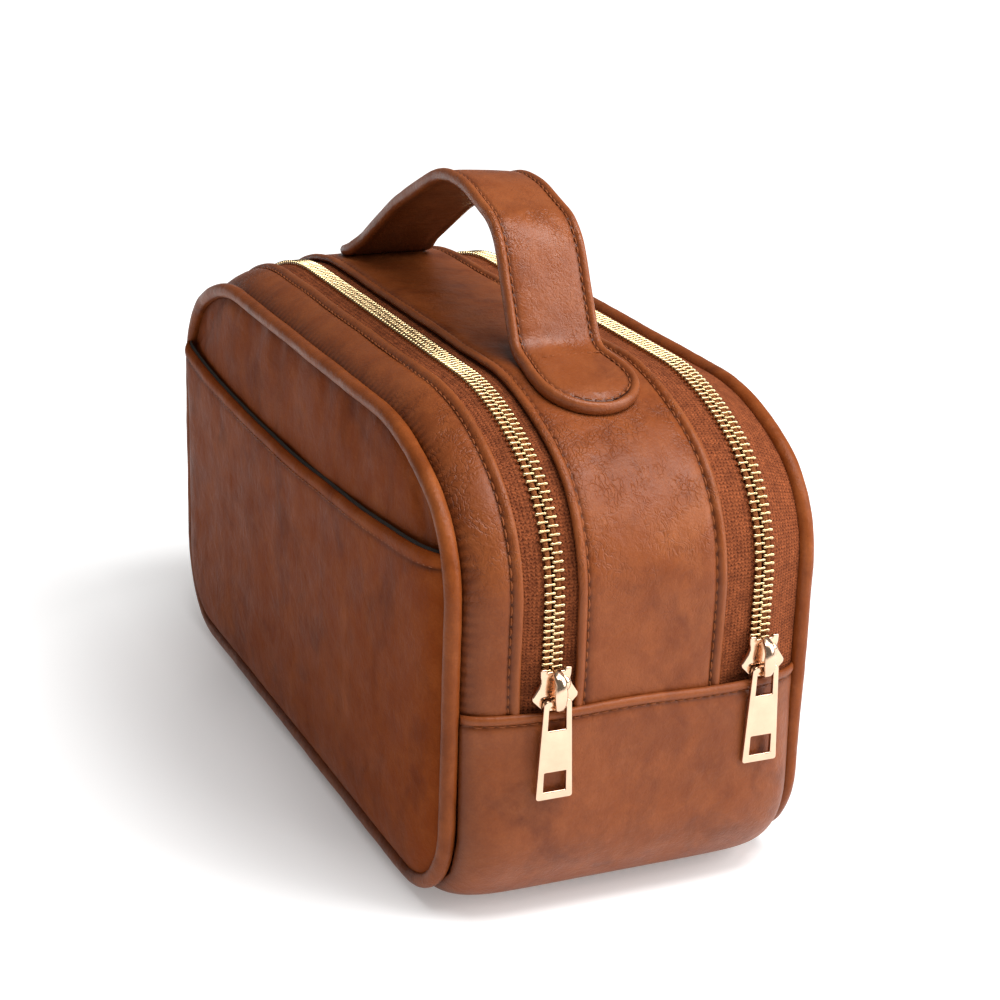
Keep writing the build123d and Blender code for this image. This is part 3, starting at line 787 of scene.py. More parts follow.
def build_piping():
    """Both runs of piping, whole loops."""
    for name, y, flap in (("front", -SEAM_Y, "front_flap"), ("back", SEAM_Y, "back_flap")):
        s = steps(0, 2 * HALF_WAY, 1.6)[:-1]
        sides = 18
        angle = np.arange(sides) * 2 * math.pi / sides
        centre = wall_points(s, y, 0.0)
        swell = 1 + 0.05 * ripple(centre, 14.0, 21) + 0.03 * ripple(centre, 5.0, 22)
        shift = 0.25 * ripple(centre, 30.0, 23)
        r = PIPING_R * swell[:, None]
        across = r * np.cos(angle)[None, :] + shift[:, None]
        out = r * np.sin(angle)[None, :]
        xx, zz = outline(s[:, None], out, out)
        points = np.stack([xx, y + across, zz], -1)
        # Painted highlight on the piping's outer crown and painted shade on its side towards the
        # wall.
        outward = np.sin(angle)[None, :] * 0.25 + np.cos(angle)[None, :] * math.copysign(0.1, y)
        tone = np.broadcast_to(outward, (len(s), sides))
        faces = grid_faces(len(s), sides, close_rows=True, close_columns=True)
        tube = make_object(f"{name}_piping_leather", points, faces, PIPING_LEATHER, tone)
        nodes = [f"{name}_piping_{part}" for part in ("upper", "lower", "cord_upper",
                                                      "cord_lower")]
        folding(tube, flap, "piping_leather", *nodes)


POCKET_RIM = [(0.0, -0.7), (0.4, -0.1), (1.2, 0.45), (2.4, 0.5), (3.5, 0.2), (4.1, -0.3),
              (4.7, -0.2), (6.0, 0.1), (8.0, 0.15)]
POCKET_STITCH_DOWN = 4.15
POCKET_INSET = 1.7           # from the piping's middle line to the pocket's sewn edge
POCKET_HALF = HALF_LENGTH - POCKET_INSET
POCKET_THICK = 1.4


def mouth_rise(x):
    """How much higher than its middle the pocket's mouth is at x. It is highest at the +X end."""
    share = x / POCKET_HALF
    return 7.6 * share ** 2 + 2.4 * share


def pocket_front_y(x, z, way_in, top):
    """How far out the pocket's face is, top being the way down from the mouth."""
    face = POCKET_FACE_Y - 0.9
    full = 1 - np.exp(-way_in / 5.0)
    middle = 0.8 * (1 - np.exp(-way_in / 40.0))
    rim = np.interp(top, *zip(*POCKET_RIM)) * np.clip(way_in / 5, 0, 1)
    place = np.stack([x * 0.8, 0 * x, z * 0.35], -1)
    waves = 0.75 * ripple(place, 26.0, 61) + 0.16 * ripple(place, 8.0, 62)
    corner = 2.2 * np.exp(-((x + HALF_LENGTH) / 9.0) ** 2 - (top / 14.0) ** 2)
    return SEAM_Y + 0.5 + (face - SEAM_Y - 0.5) * full + middle + rim + waves * full + corner


def build_pocket():
    """Slip pocket: a leather sheet with a folded, stitched top edge, and its dark lining."""
    x, z, way_in = panel_grid(POCKET_INSET, 2.2, z_top=POCKET_TOP_Z)
    rise = mouth_rise(x) * np.clip((z - 40) / (POCKET_TOP_Z - 40), 0, 1)
    top = POCKET_TOP_Z - z
    front_y = pocket_front_y(x, z, way_in, top)
    front = np.stack([x, -front_y, z + rise], -1)
    back = np.stack([x, -(front_y - POCKET_THICK), z + rise - 0.15], -1)
    points, faces = join_sheets(front, back)
    # Painted highlight on the crest of the folded top edge, painted shade in the stitch groove, and
    # painted shade over the whole inner sheet.
    groove = np.exp(-((top - POCKET_STITCH_DOWN) / 0.6) ** 2)
    crest = 0.6 * np.exp(-((top - 1.8) / 1.2) ** 2)
    tone = np.concatenate([np.clip(crest - groove, -1, 1).ravel(), 0 * x.ravel() - 0.5])
    folding(make_object("pocket_leather", points, faces, PANEL_LEATHER, tone), "front_flap",
            "leather", "pocket_panel_upper", "pocket_panel_lower")
    behind = np.stack([x, -(front_y - POCKET_THICK - 0.1), z + rise + 0.55 * (top < 3)], -1)
    further = behind + np.array([0, 0.35, 0])
    points, faces = join_sheets(behind, further)
    lining = make_object("pocket_lining_cloth", points, faces, LINING_CLOTH)
    folding(lining, "front_flap", "lining_cloth", "pocket_lining_upper", "pocket_lining_lower")
    at = np.arange(-POCKET_HALF + 3, POCKET_HALF - 5, STITCH_PITCH)
    ends = []
    for shift in (0.0, STITCH_LENGTH):
        u = at + shift
        level = np.full_like(u, POCKET_TOP_Z - POCKET_STITCH_DOWN)
        out = pocket_front_y(u, level, POCKET_HALF - np.abs(u), 0 * u + POCKET_STITCH_DOWN)
        ends.append(np.stack([u, -out, level + mouth_rise(u)], -1))
    normals = np.tile([0.0, -1.0, 0.0], (len(at), 1))
    folding(stitch_row("pocket_stitches", *ends, normals), "front_flap", "leather")


LINING_INSET = 3.0           # from the piping's middle line to where a lining ends
LINING_THICK = 0.4
WALL_LINING_UNDER = -2.7     # how far under the skin the lining of a wall lies


def sheet_pair(y):
    """A thin closed sheet across the side profile at y: points and faces."""
    x, z, way_in = panel_grid(LINING_INSET, 6.0)
    wave = 0.5 * ripple(np.stack([x, 0 * x + y, z], -1), 30.0, 71) * np.clip(way_in / 15, 0, 1)
    return join_sheets(*(np.stack([x, y + side * LINING_THICK / 2 + wave, z], -1)
                         for side in (-1, 1)))


def build_linings():
    """The cloth inside: round the walls, behind both panels and over the divider."""
    for name, y in (("front", -FRONT_INNER_Y - 0.1), ("back", BACK_INNER_Y + 0.1)):
        piece = make_object(f"{name}_lining_cloth", *sheet_pair(y), LINING_CLOTH)
        folding(piece, f"{name}_flap", "lining_cloth", f"{name}_lining_upper",
                f"{name}_lining_lower")
    over = (S_TUCK, S_OVER - S_TUCK)
    for node, low, high, (s_from, s_to), wall in (
            ("centre_gusset_lining", GUSSET_LOW_Y + 1, GUSSET_HIGH_Y - 1, over,
             "centre_gusset_leather"),
            ("front_gusset_lining", -SEAM_Y + 4, FRONT_GUSSET_Y - 1, over,
             "front_gusset_leather"),
            ("base_lining", -SEAM_Y + 4, SEAM_Y - 4, (3 - S_TUCK, S_TUCK - 3),
             "base_band_leather")):
        y = steps(low, high, 5.0)
        outer = np.stack([y, 0 * y + WALL_LINING_UNDER, 0 * y], -1)
        section = np.concatenate([outer, (outer - [0, LINING_THICK, 0])[::-1]])
        s = steps(s_from, s_to, 3.0)
        piece = wall_strip(f"{node}_cloth", section, s, LINING_CLOTH, wander=0.0, lumps=0.1,
                           seed=73)
        if node == "front_gusset_lining":
            folding(piece, "front_flap", "lining_cloth", node)
        else:
            fixed(piece, "bag_body", "lining_cloth", node)
    low, high = box("divider_panel")
    points, faces = divider_points((low[1] + high[1]) / 2, (high[1] - low[1]) / 2, low, high)
    divider = make_object("divider_pad", points, faces, LINING_CLOTH)
    fixed(divider, "bag_body", "lining_cloth", "divider_panel")


def divider_points(y, half_thick, low, high):
    """The padded divider: thin at its sewn edge and a little full in the middle."""
    x, z, way_in = panel_grid(TOP_LINE - high[2], 5.0)
    z = np.maximum(z, low[2])
    full = half_thick * (0.35 + 0.65 * (1 - np.exp(-way_in / 8.0)))
    wave = 0.3 * ripple(np.stack([x, 0 * x, z], -1), 25.0, 72) * np.clip(way_in / 15, 0, 1)
    return join_sheets(np.stack([x, y - full + wave, z], -1), np.stack([x, y + full + wave, z], -1))


# ---- Handle ---------------------------------------------------------------------------------
ROUTE_R = 98.4               # the strap's middle line where it lies on the bag
HANDLE_HALF = 15.0
NEAR_LIFT, FAR_LIFT = math.radians(7.0), math.radians(9.3)
STRAP_FOOT = 10.2            # how far the strap runs on level before it turns up
# From near the middle of the face, out to the edge and back under: (way in from the edge,
# height, painted shading: painted highlight on the rolled edge, painted shade in the stitch groove
# and under the strap)
STRAP_FACE = [(6.5, 1.95, 0.1), (4.6, 1.75, 0.0), (3.7, 1.35, -0.5), (3.2, 1.1, -1.0),
              (2.8, 1.4, -0.6), (2.3, 2.0, 0.3), (1.6, 2.35, 0.8), (0.8, 2.05, 0.8),
              (0.25, 1.2, 0.3), (0.0, 0.1, 0.0), (0.2, -1.1, -0.1), (0.9, -1.95, -0.4),
              (2.0, -2.1, -0.8), (3.2, -1.85, -1.0), (4.2, -2.05, -0.8), (6.5, -2.1, -0.8)]
STRAP_STITCH_IN = 3.2


def leaving(angle, side):
    """Where the strap leaves the bag, and the corner of its foot past that."""
    x = TOP_CENTRE[0] + ROUTE_R * math.sin(angle)
    z = TOP_CENTRE[1] + ROUTE_R * math.cos(angle)
    return (side * x, z), (side * (x - STRAP_FOOT), z + STRAP_FOOT * math.tan(angle))


def strap_route():
    """The strap's middle line in X and Z, from the near tab's end to the far one's."""
    near, near_foot = leaving(NEAR_LIFT, 1)
    far, far_foot = leaving(FAR_LIFT, -1)
    loop = rounded([near, near_foot, (52, 190.7), (14, 201.6), (-33, 180), far_foot, far],
                   [0, 10, 18, 50, 60, 16, 0], closed=False, step_deg=5)
    near_end = math.asin((NEAR_TAB_X - TOP_CENTRE[0]) / ROUTE_R)
    far_end = math.asin((FAR_TAB_X - TOP_CENTRE[0]) / ROUTE_R)
    near_arc = [leaving(a, 1)[0] for a in np.linspace(near_end, NEAR_LIFT, 12)[:-1]]
    far_arc = [leaving(a, -1)[0] for a in np.linspace(FAR_LIFT, far_end, 12)[1:]]
    line, at = resample(near_arc + list(map(tuple, loop)) + far_arc, 1.0)
    for _ in range(4):
        line[1:-1] = (line[:-2] + 2 * line[1:-1] + line[2:]) / 4
    return line, at


def build_handle():
    """The handle: a stuffed strap with rolled, stitched edges."""
    line, at = strap_route()
    length = at[-1]
    tangent = np.gradient(line, axis=0)
    tangent /= np.linalg.norm(tangent, axis=1, keepdims=True)
    normal = np.stack([tangent[:, 1], -tangent[:, 0]], -1)
    turn = np.abs(np.gradient(np.unwrap(np.arctan2(tangent[:, 1], tangent[:, 0]))))
    free = 1 / (1 + np.exp(-(at - 42) / 5)) / (1 + np.exp((at - length + 36) / 5))

    def along(values, u):
        return np.interp(u, at, values)

    def strap_point(u, y, h):
        u, y, h = np.broadcast_arrays(u, y, h)
        skived = np.clip((u - (length - 18)) / 16, 0, 1)
        h = np.where(h > -1, (h + 1) * (1 - 0.6 * skived) - 1, h)
        x = along(line[:, 0], u) + along(normal[:, 0], u) * h
        z = along(line[:, 1], u) + along(normal[:, 1], u) * h
        high = np.clip((along(line[:, 1], u) - 161) / 35, 0, 1)
        return np.stack([x, HANDLE_Y + y, z - 0.075 * y * high], -1)

    cap = [(TAB_HALF * (1 - math.cos(a)), TAB_HALF * math.sin(a))
           for a in np.linspace(0, math.pi / 2, 13)[:-1]]
    u = steps(TAB_HALF, length - TAB_HALF, 1.4)
    from_end = np.minimum(u, length - u)
    ease = np.clip((from_end - 20) / 14, 0, 1)
    width = TAB_HALF - (TAB_HALF - HANDLE_HALF) * ease * ease * (3 - 2 * ease)
    edge = np.array(cap + list(zip(u, width)) + [(length - a, b) for a, b in cap[::-1]])
    loop = np.concatenate([edge, edge[-2:0:-1] * [1, -1]])
    ahead = np.roll(loop, -1, 0) - np.roll(loop, 1, 0)
    inward = np.stack([ahead[:, 1], -ahead[:, 0]], -1)[:len(edge)]
    inward /= np.linalg.norm(inward, axis=1, keepdims=True)
    rings, heights, painted_shadings = [], [], []
    middle = edge + inward * STRAP_FACE[0][0]
    spine = middle * [1, 0]
    # The middle of the face gets a faint painted highlight.
    for share, (h, t) in [(f, (2.15 - 0.2 * f * f, 0.1)) for f in (0.0, 0.25, 0.5, 0.75)]:
        rings.append(spine + (middle - spine) * share)
        heights.append(h)
        painted_shadings.append(t)
    for way, h, t in STRAP_FACE:
        rings.append(edge + inward * way)
        heights.append(h)
        painted_shadings.append(t)
    # Painted shade under the strap.
    under = edge + inward * STRAP_FACE[-1][0]
    for share in (0.66, 0.33, 0.0):
        rings.append(spine + (under - spine) * share)
        heights.append(-2.0)
        painted_shadings.append(-0.8)
    half = np.stack(rings, 1)
    other = half[:, -2:0:-1] * [1, -1]
    flat = np.concatenate([half, other], 1)
    height = np.concatenate([heights, heights[-2:0:-1]])
    tone = np.concatenate([painted_shadings, painted_shadings[-2:0:-1]])
    place = np.concatenate([flat, 0 * flat[..., :1]], -1)
    lift = 0.22 * ripple(place, 15.0, 81) + 0.1 * ripple(place, 5.0, 82)
    pucker = 0.15 * np.cos(2 * math.pi * flat[..., 0] / STITCH_PITCH) * (tone[None, :] < -0.4)
    upper = height[None, :] > 0
    points = strap_point(flat[..., 0], flat[..., 1], height[None, :] + (lift - pucker) * upper)
    rows, columns = flat.shape[:2]
    bend = np.clip(np.interp(flat[..., 0], at, turn) * 14, 0.25, 1) * upper
    bend = bend * np.clip(along(free, flat[..., 0]) + 0.3, 0, 1)
    piece = make_object("handle_strap", points, grid_faces(rows, columns, close_columns=True),
                        HANDLE_LEATHER, np.broadcast_to(tone, (rows, columns)), bend=bend,
                        weld=True)
    fixed(piece, "bag_body", "handle_leather", "handle_face", "handle_core", "handle_backing")

    ring = edge + inward * STRAP_STITCH_IN
    ring = np.concatenate([ring, ring[-2::-1] * [1, -1]])
    spots, _ = resample(ring, STITCH_PITCH)
    starts, ends = spots[:-1], spots[:-1] + (spots[1:] - spots[:-1]) * STITCH_LENGTH / STITCH_PITCH
    across = np.arange(-HANDLE_HALF + 4.2, HANDLE_HALF - 5, STITCH_PITCH * 0.8)
    for u0 in (30.0, length - 19.0):
        starts = np.concatenate([starts, np.stack([0 * across + u0, across], -1)])
        ends = np.concatenate([ends, np.stack([0 * across + u0, across + 1.9], -1)])
    flat_row = np.abs(starts[:, 1]) < HANDLE_HALF - 4.5
    h = np.where(flat_row, 2.0, 1.35)
    a, b = strap_point(starts[:, 0], starts[:, 1], h), strap_point(ends[:, 0], ends[:, 1], h)
    up = strap_point(starts[:, 0], starts[:, 1], h + 1) - a
    fixed(stitch_row("handle_stitches", a, b, up), "bag_body", "handle_leather")


# ---- Sliders and pulls ----------------------------------------------------------------------
FACING_X = Matrix(((0, 0, 1, 0), (1, 0, 0, 0), (0, 1, 0, 0), (0, 0, 0, 1)))


def gold(piece, body, *nodes):
    """piece is polished gold, rides on body and stands for the CAD nodes."""
    return fixed(piece, body, "polished_gold", *nodes)


def plate(name, rings, thick, edge_r, place):
    """A flat gold plate facing +X with rolled edges, from its outline and holes in (y, z)."""
    curve = bpy.data.curves.new(name, "CURVE")
    curve.dimensions = "2D"
    curve.fill_mode = "BOTH"
    curve.extrude = (thick / 2 - edge_r) * MM
    curve.bevel_depth = edge_r * MM
    curve.bevel_resolution = 3
    curve.offset = -edge_r * MM
    for ring in rings:
        spline = curve.splines.new("POLY")
        spline.points.add(len(ring) - 1)
        for point, (y, z) in zip(spline.points, ring):
            point.co = (y * MM, z * MM, 0, 1)
        spline.use_cyclic_u = True
    source = bpy.data.objects.new(name + "_curve", curve)
    mesh = bpy.data.meshes.new_from_object(source)
    mesh.name = name
    mesh.transform(Matrix.Translation(Vector(place) * MM) @ FACING_X)
    clean(mesh, GOLD, weld=0.002)
    mesh.set_sharp_from_angle(angle=math.radians(32))
    bpy.data.objects.remove(source)
    return add_object(name, mesh)


def cast_bar(name, stations):
    """A smooth gold bar through stations (x, y, z, half width in Y, half thickness)."""
    sides = 16
    rows = np.array(stations, float)
    t = np.arange(len(rows))
    fine = np.linspace(0, len(rows) - 1, 4 * (len(rows) - 1) + 1)
    rows = np.stack([np.interp(fine, t, column) for column in rows.T], -1)
    for _ in range(3):
        rows[1:-1] = (rows[:-2] + 2 * rows[1:-1] + rows[2:]) / 4
    tangent = np.gradient(rows[:, [0, 2]], axis=0)
    tangent /= np.linalg.norm(tangent, axis=1, keepdims=True) + 1e-9
    normal = np.stack([tangent[:, 1], -tangent[:, 0]], -1)
    angle = np.arange(sides) * 2 * math.pi / sides
    c = np.sign(np.cos(angle)) * np.abs(np.cos(angle)) ** 0.8
    s = np.sign(np.sin(angle)) * np.abs(np.sin(angle)) ** 0.8
    x = rows[:, None, 0] + normal[:, None, 0] * rows[:, None, 4] * s
    z = rows[:, None, 2] + normal[:, None, 1] * rows[:, None, 4] * s
    y = rows[:, None, 1] + rows[:, None, 3] * c
    return make_object(name, np.stack([x, y, z], -1), capped_grid(len(rows), sides), GOLD)


# The +Y half of a slider's outline from its top down, and the radius of each corner
WING = [(2.6, 5.7), (3.0, 6.6), (4.9, 6.5), (4.8, 4.2), (4.5, 3.0), (5.2, 1.2), (7.2, -1.8),
        (7.1, -2.9), (4.6, -5.4), (2.4, -6.6)]
WING_R = [0.5, 0.4, 0.5, 0.4, 1.2, 1.5, 1.0, 1.0, 1.5, 1.0]
SLIDER_WALL = [(4.9, -4.2), (5.9, -3.4), (5.7, -0.6), (4.7, 1.4)]
# A slider's crown, which holds the pull, and the cast boss beside it: (base, x from that base,
# y, z, half width in Y, half thickness). The base is the plate's face or the crown's top.
CROWN_STATIONS = [("face", -0.2, 0, 6.0, 1.0, 0.5), ("face", 0.7, 0, 5.4, 1.5, 0.75),
                  ("arch", -1.4, 0, 4.2, 1.75, 0.9), ("arch", -0.4, 0, 2.6, 1.55, 0.8),
                  ("arch", 0, 0, 0.4, 2.0, 0.85), ("arch", 0, 0, -1.8, 1.9, 0.8),
                  ("arch", -0.2, 0, -3.8, 1.5, 0.7), ("arch", -0.9, 0, -5.1, 1.3, 0.62),
                  ("arch", -2.2, 0, -5.6, 1.2, 0.6), ("face", -0.2, 0, -5.6, 1.2, 0.6)]
BOSS_STATIONS = [("face", -0.4, 2.4, 3.9, 0.5, 0.6), ("face", 0.1, 2.5, 3.4, 1.4, 0.9),
                 ("face", 0.5, 2.5, 1.9, 1.9, 1.25), ("face", 0.3, 2.4, 0.2, 1.7, 1.0),
                 ("face", -0.3, 2.2, -0.9, 0.8, 0.6)]


def wing_outline(size=1.0):
    """The slider's outline about its middle."""
    half = [(size * u, size * v) for u, v in WING]
    return rounded(half + [(-u, v) for u, v in reversed(half)], WING_R + WING_R[::-1])


def build_hardware():
    """Both sliders and pulls, in polished metal."""
    for name, y in (("front", FRONT_ZIP_Y), ("back", BACK_ZIP_Y)):
        low, high = box(f"{name}_slider_body")
        z = (low[2] + high[2]) / 2
        face, inner = high[0], low[0]
        base_x = {"face": face, "arch": box(f"{name}_slider_bridge")[1][0] - 0.75}
        slider = f"{name}_slider"
        post = rounded([(-0.55, 1.2), (0.55, 1.2), (0.55, 5.2), (-0.55, 5.2)], 0.2)
        right_wall = rounded(SLIDER_WALL, 0.25)
        left_wall = rounded([(-u, v) for u, v in reversed(SLIDER_WALL)], 0.25)
        # Label, outline, thickness, edge radius, x, and the CAD nodes it stands for
        for label, ring, thick, edge_r, x, nodes in (
                ("plate", wing_outline(), 1.5, 0.45, face - 0.7, [f"{name}_slider_body"]),
                ("inner", wing_outline(0.68), 1.3, 0.3, inner + 0.7, []),
                ("post", post, face - inner - 1.2, 0.15, (face + inner) / 2, []),
                ("wall_right", right_wall, 2.6, 0.2, face - 1.9, []),
                ("wall_left", left_wall, 2.6, 0.2, face - 1.9, [])):
            gold(plate(f"{slider}_{label}", [ring], thick, edge_r, (x, y, z)), slider, *nodes)
        for label, stations, nodes in (
                ("crown", CROWN_STATIONS, [f"{name}_slider_bridge"]),
                ("boss", BOSS_STATIONS, [])):
            placed = [(base_x[base] + dx, y + dy, z + dz, wide, thick)
                      for base, dx, dy, dz, wide, thick in stations]
            gold(cast_bar(f"{slider}_{label}", placed), slider, *nodes)
        build_pull(name, y)


def build_pull(name, y):
    """A tapered pull with two windows."""
    low, high = box(f"{name}_pull_tab")
    foot, top = low[2], high[2]
    foot_half = (high[1] - low[1]) / 2
    shape = rounded([(-4.3, top), (4.3, top), (foot_half, foot), (-foot_half, foot)],
                    [1.4, 1.4, 0.9, 0.9])
    top_hole = rounded([(-2.9, top - 9.4), (2.9, top - 9.4), (2.7, top - 1.9), (-2.7, top - 1.9)],
                       [0.3, 0.3, 1.0, 1.0])
    foot_hole = rounded([(-3.6, foot + 2.5), (3.6, foot + 2.5), (3.5, foot + 8.6),
                         (-3.5, foot + 8.6)], 0.3)
    gold(plate(f"{name}_pull_plate", [shape, top_hole, foot_hole], PULL_THICK, 0.35,
               ((low[0] + high[0]) / 2, y, 0)), f"{name}_pull", f"{name}_pull_tab")


def finish_plain_nodes():
    """CAD pieces that keep their own shape: the zip stops and the hidden base board."""
    for node, material in (("front_zip_stops", BRASS), ("back_zip_stops", BRASS),
                           ("base_board", BOARD)):
        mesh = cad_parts[node].data
        mesh.materials.clear()
        mesh.materials.append(material)


TOOTH_PITCH = 2.05
# A tooth's sections: way in from its outer end, half width along the chain, half height
TOOTH = [(0.0, 0.28, 0.35), (0.12, 0.46, 0.7), (0.5, 0.56, 0.95), (1.0, 0.52, 0.95),
         (1.8, 0.37, 0.85), (2.5, 0.36, 0.85), (3.0, 0.46, 0.9), (3.5, 0.46, 0.8),
         (3.8, 0.25, 0.5)]
TOOTH_OUT = 3.4


def build_teeth_row(name, y, side, rise, phase, s_from, s_to):
    """One row of zip teeth: each a waisted bar whose head meshes with the other row."""
    sides = 10
    angle = (np.arange(sides) + 0.5) * 2 * math.pi / sides
    ring_c = np.sign(np.cos(angle)) * np.abs(np.cos(angle)) ** 0.7
    ring_h = np.sign(np.sin(angle)) * np.abs(np.sin(angle)) ** 0.7
    s = np.arange(s_from + phase * TOOTH_PITCH, s_to, TOOTH_PITCH)
    place = np.stack(np.broadcast_arrays(*outline(s, rise, rise)), -1)
    ahead = np.stack(outline(s + 0.5, rise, rise), -1)
    tangent = (ahead - place) / np.linalg.norm(ahead - place, axis=1, keepdims=True)
    normal = np.stack([tangent[:, 1], -tangent[:, 0]], -1)
    lean = 0.05 * ripple(np.stack([s, s * 0, s * 0 + y], -1), 3.0, 51)
    points, faces = [], []
    shell = capped_grid(len(TOOTH), sides)
    for k in range(len(s)):
        start = len(points)
        for way, half_c, half_h in TOOTH:
            for c, h in zip(ring_c, ring_h):
                along = c * half_c + lean[k] * (way - 1)
                xz = place[k] + tangent[k] * along + normal[k] * (h * half_h - 1.0)
                points.append((xz[0], y + side * (TOOTH_OUT - way), xz[1]))
        faces += [tuple(start + v for v in f) for f in shell]
    return make_object(name, points, faces, BRASS)


def bead_cord(name, y, rise, s_from, s_to):
    """The cord along a tape's edge that the teeth are clamped on."""
    s = steps(s_from, s_to, 2.0)
    sides = 10
    angle = np.arange(sides) * 2 * math.pi / sides
    out = rise - 1.25 + 0.62 * np.sin(angle)[None, :]
    xx, zz = outline(s[:, None], out, out)
    across = np.broadcast_to(y + 0.9 * np.cos(angle)[None, :], xx.shape)
    points = np.stack([xx, across, zz], -1)
    uv = np.stack(np.broadcast_arrays(s[:, None], angle[None, :]), -1)
    return make_object(name, points, capped_grid(len(s), sides), BEAD_CLOTH, uv=uv)


TAPE_THICK = 0.7
TAPE_REACH = 4.7             # how far a tape goes on under a gusset's edge


def tape_strip(name, y_values, rises, s_from, s_to):
    """A knitted tape: a thin closed strip, rise given at each y."""
    s = steps(s_from, s_to, 1.8)
    y = np.concatenate([y_values, y_values[::-1]])
    rise = np.concatenate([rises, rises[::-1] - TAPE_THICK])
    lift = 0.1 * ripple(np.stack(np.broadcast_arrays(s[:, None], y[None, :], 0.0), -1), 9.0, 31)
    xx, zz = outline(s[:, None], rise[None, :] + lift, rise[None, :] + lift)
    points = np.stack(np.broadcast_arrays(xx, y[None, :], zz), -1)
    uv = np.stack(np.broadcast_arrays(s[:, None], y[None, :]), -1)
    return make_object(name, points, capped_grid(len(s), len(y)), TAPE_CLOTH, uv=uv)


def half_tape(name, zip_y, side, zip_rise, far_y, far_rise):
    """Half a zip's tape, from the bead under the teeth to its far edge under the leather."""
    near = [(0.45, -2.4), (0.7, -2.0), (1.6, -1.75), (2.8, -1.7), (3.6, -1.6)]
    y_values = [zip_y + side * d for d, _ in near]
    rises = [zip_rise + h for _, h in near]
    for share in np.linspace(0, 1, 7)[1:]:
        y_values.append(y_values[4] + (far_y - y_values[4]) * share)
        rises.append(rises[4] + (far_rise - rises[4]) * share)
    return tape_strip(name, np.array(y_values), np.array(rises), S_TUCK, S_OVER - S_TUCK)


def build_zips():
    """Tapes and teeth of both zips."""
    zips = [("front", FRONT_ZIP_Y, FRONT_ZIP_RISE, 1, GUSSET_LOW_Y + TAPE_REACH,
             FRONT_GUSSET_Y - TAPE_REACH, "front_flap"),
            ("back", BACK_ZIP_Y, BACK_ZIP_RISE, -1, GUSSET_HIGH_Y - TAPE_REACH, SEAM_Y - 1.8,
             "back_flap")]
    chain_from = way_at(box("front_zip_teeth_inner")[0][2])
    for name, y, rise, inner_side, inner_far, outer_far, flap in zips:
        inner_rise = float(skin(inner_far)) - 1.9
        outer_rise = float(skin(outer_far)) - (1.9 if name == "front" else 1.0)
        fixed(half_tape(f"{name}_tape_inner", y, inner_side, rise, inner_far, inner_rise),
              "bag_body", "zip_tape", f"{name}_zip_tape_inner")
        folding(half_tape(f"{name}_tape_outer", y, -inner_side, rise, outer_far, outer_rise),
                flap, "zip_tape", f"{name}_zip_tape_outer", f"{name}_zip_tape_ends")
        span = (chain_from, S_OVER - chain_from)
        cords = (y + 1.5 * inner_side, y - 1.5 * inner_side)
        fixed(bead_cord(f"{name}_bead_inner", cords[0], rise, *span), "bag_body", "zip_tape")
        folding(bead_cord(f"{name}_bead_outer", cords[1], rise, *span), flap, "zip_tape")
        fixed(build_teeth_row(f"{name}_teeth_inner", y, inner_side, rise, 0.0, *span),
              "bag_body", "zip_brass", f"{name}_zip_teeth_inner")
        folding(build_teeth_row(f"{name}_teeth_outer", y, -inner_side, rise, 0.5, *span),
                flap, "zip_brass", f"{name}_zip_teeth_outer", f"{name}_zip_teeth_ends")


# ---- Camera, light and floor ----------------------------------------------------------------
def aim(obj, target):
    obj.rotation_euler = (target - obj.location).to_track_quat("-Z", "Y").to_euler()


def build_camera():
    azimuth, elevation, roll = (math.radians(v) for v in (65.55, 19.6, 2.02))
    target = Vector((1.57, 13.28, 82.6)) * MM
    back = Vector((math.sin(azimuth) * math.cos(elevation),
                   -math.cos(azimuth) * math.cos(elevation), math.sin(elevation)))
    right = Vector((math.cos(azimuth), math.sin(azimuth), 0))
    up = back.cross(right)
    data = bpy.data.cameras.new("camera")
    data.lens = 81.2
    data.sensor_width = 36
    data.clip_start = 0.01
    camera = add_object("camera", data)
    level = Matrix((right * math.cos(roll) + up * math.sin(roll),
                    up * math.cos(roll) - right * math.sin(roll), back)).transposed()
    camera.matrix_world = Matrix.Translation(target + back * 0.7772) @ level.to_4x4()
    bpy.context.scene.camera = camera


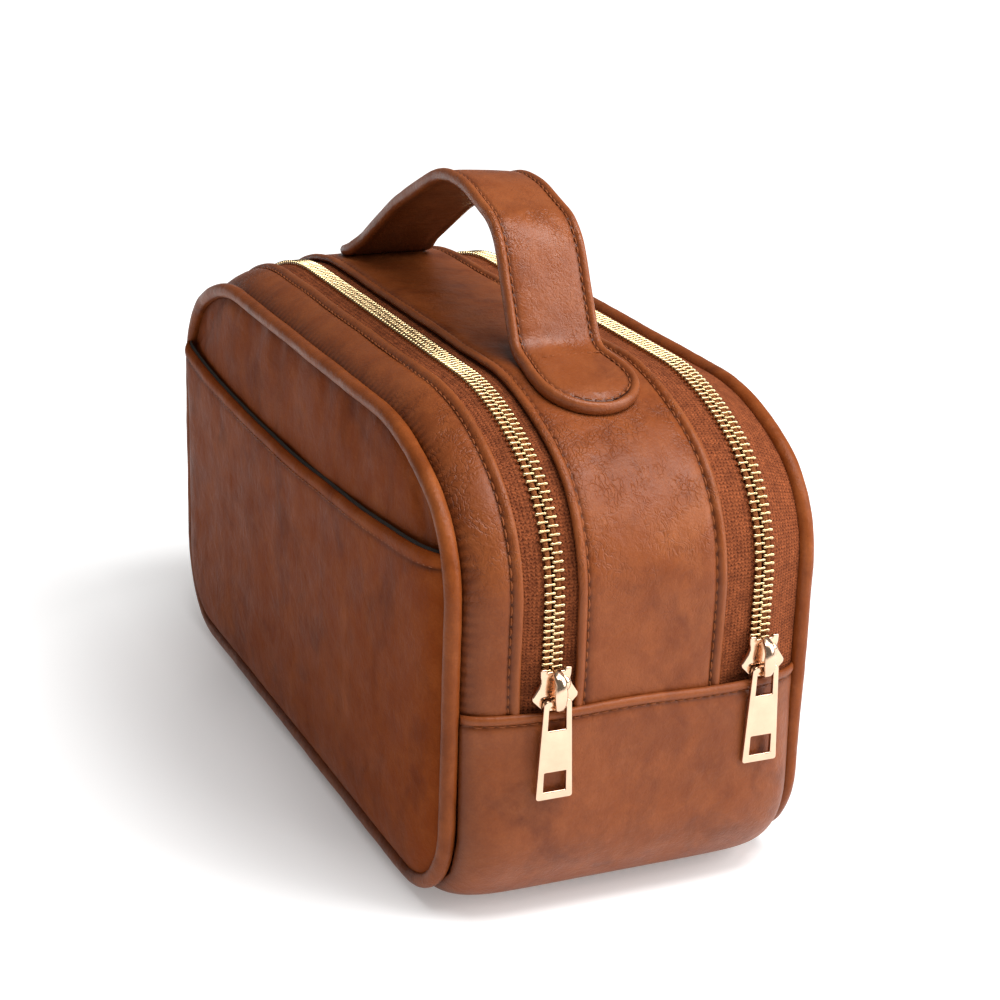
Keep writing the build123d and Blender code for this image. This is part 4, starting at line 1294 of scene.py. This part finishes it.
def area_light(name, place, size, power):
    """A white rectangular light that looks at the middle of the bag."""
    data = bpy.data.lights.new(name, "AREA")
    data.shape = "RECTANGLE"
    data.size, data.size_y = size
    data.energy = power
    light = add_object(name, data)
    light.location = place
    aim(light, Vector((0, 0, 0.08)))


# The floor's own glow, brighter further out: (distance from the middle in 2 m, strength)
FLOOR_GLOW = [(0.045, 0.15), (0.085, 0.46), (0.2, 0.6), (0.6, 0.85), (1.0, 0.95)]
FLOOR_HALF = 6.0


def build_studio():
    """White paper underneath, a weak white surround and three lights."""
    bpy.context.scene.view_settings.view_transform = "Standard"
    world = bpy.data.worlds.new("studio")
    bpy.context.scene.world = world
    world.use_nodes = True
    world.node_tree.nodes["Background"].inputs["Color"].default_value = (1.0, 1.0, 1.0, 1)
    world.node_tree.nodes["Background"].inputs["Strength"].default_value = 0.2
    area_light("key", (0.82, 1.08, 0.75), (1.0, 1.0), 18.5)
    area_light("top", (0.37, 0.32, 1.0), (0.5, 0.45), 8)
    area_light("front_top", (0.42, -0.08, 1.02), (0.35, 0.35), 4.5)
    paper = Shader("paper")
    distance = paper.vector("LENGTH", paper.coords())["Value"]
    glow = paper.ramp(paper.math("MULTIPLY", distance, 0.5), FLOOR_GLOW)
    floor = bpy.data.meshes.new("floor")
    floor.from_pydata([(x * FLOOR_HALF, y * FLOOR_HALF, 0)
                       for x, y in ((-1, -1), (1, -1), (1, 1), (-1, 1))], [], [(0, 1, 2, 3)])
    floor.materials.append(paper.finish(
        Base_Color=(0.8, 0.8, 0.8), Roughness=0.95, Specular_IOR_Level=0.0,
        Emission_Color=(1.0, 0.99, 0.98), Emission_Strength=glow))
    add_object("floor", floor)


build_camera()
build_studio()
build_gussets()
build_band()
build_piping()
build_zips()
build_big_panel("front", -1, FRONT_FACE_Y, FRONT_INNER_Y, "front_flap",
                ("front_panel_upper", "front_panel_lower", "front_foam_upper",
                 "front_foam_lower"), 41)
build_big_panel("back", 1, BACK_FACE_Y, BACK_INNER_Y, "back_flap",
                ("back_panel_upper", "back_panel_lower", "back_foam_upper",
                 "back_foam_lower"), 43)
build_pocket()
build_linings()
build_handle()
build_hardware()
finish_plain_nodes()
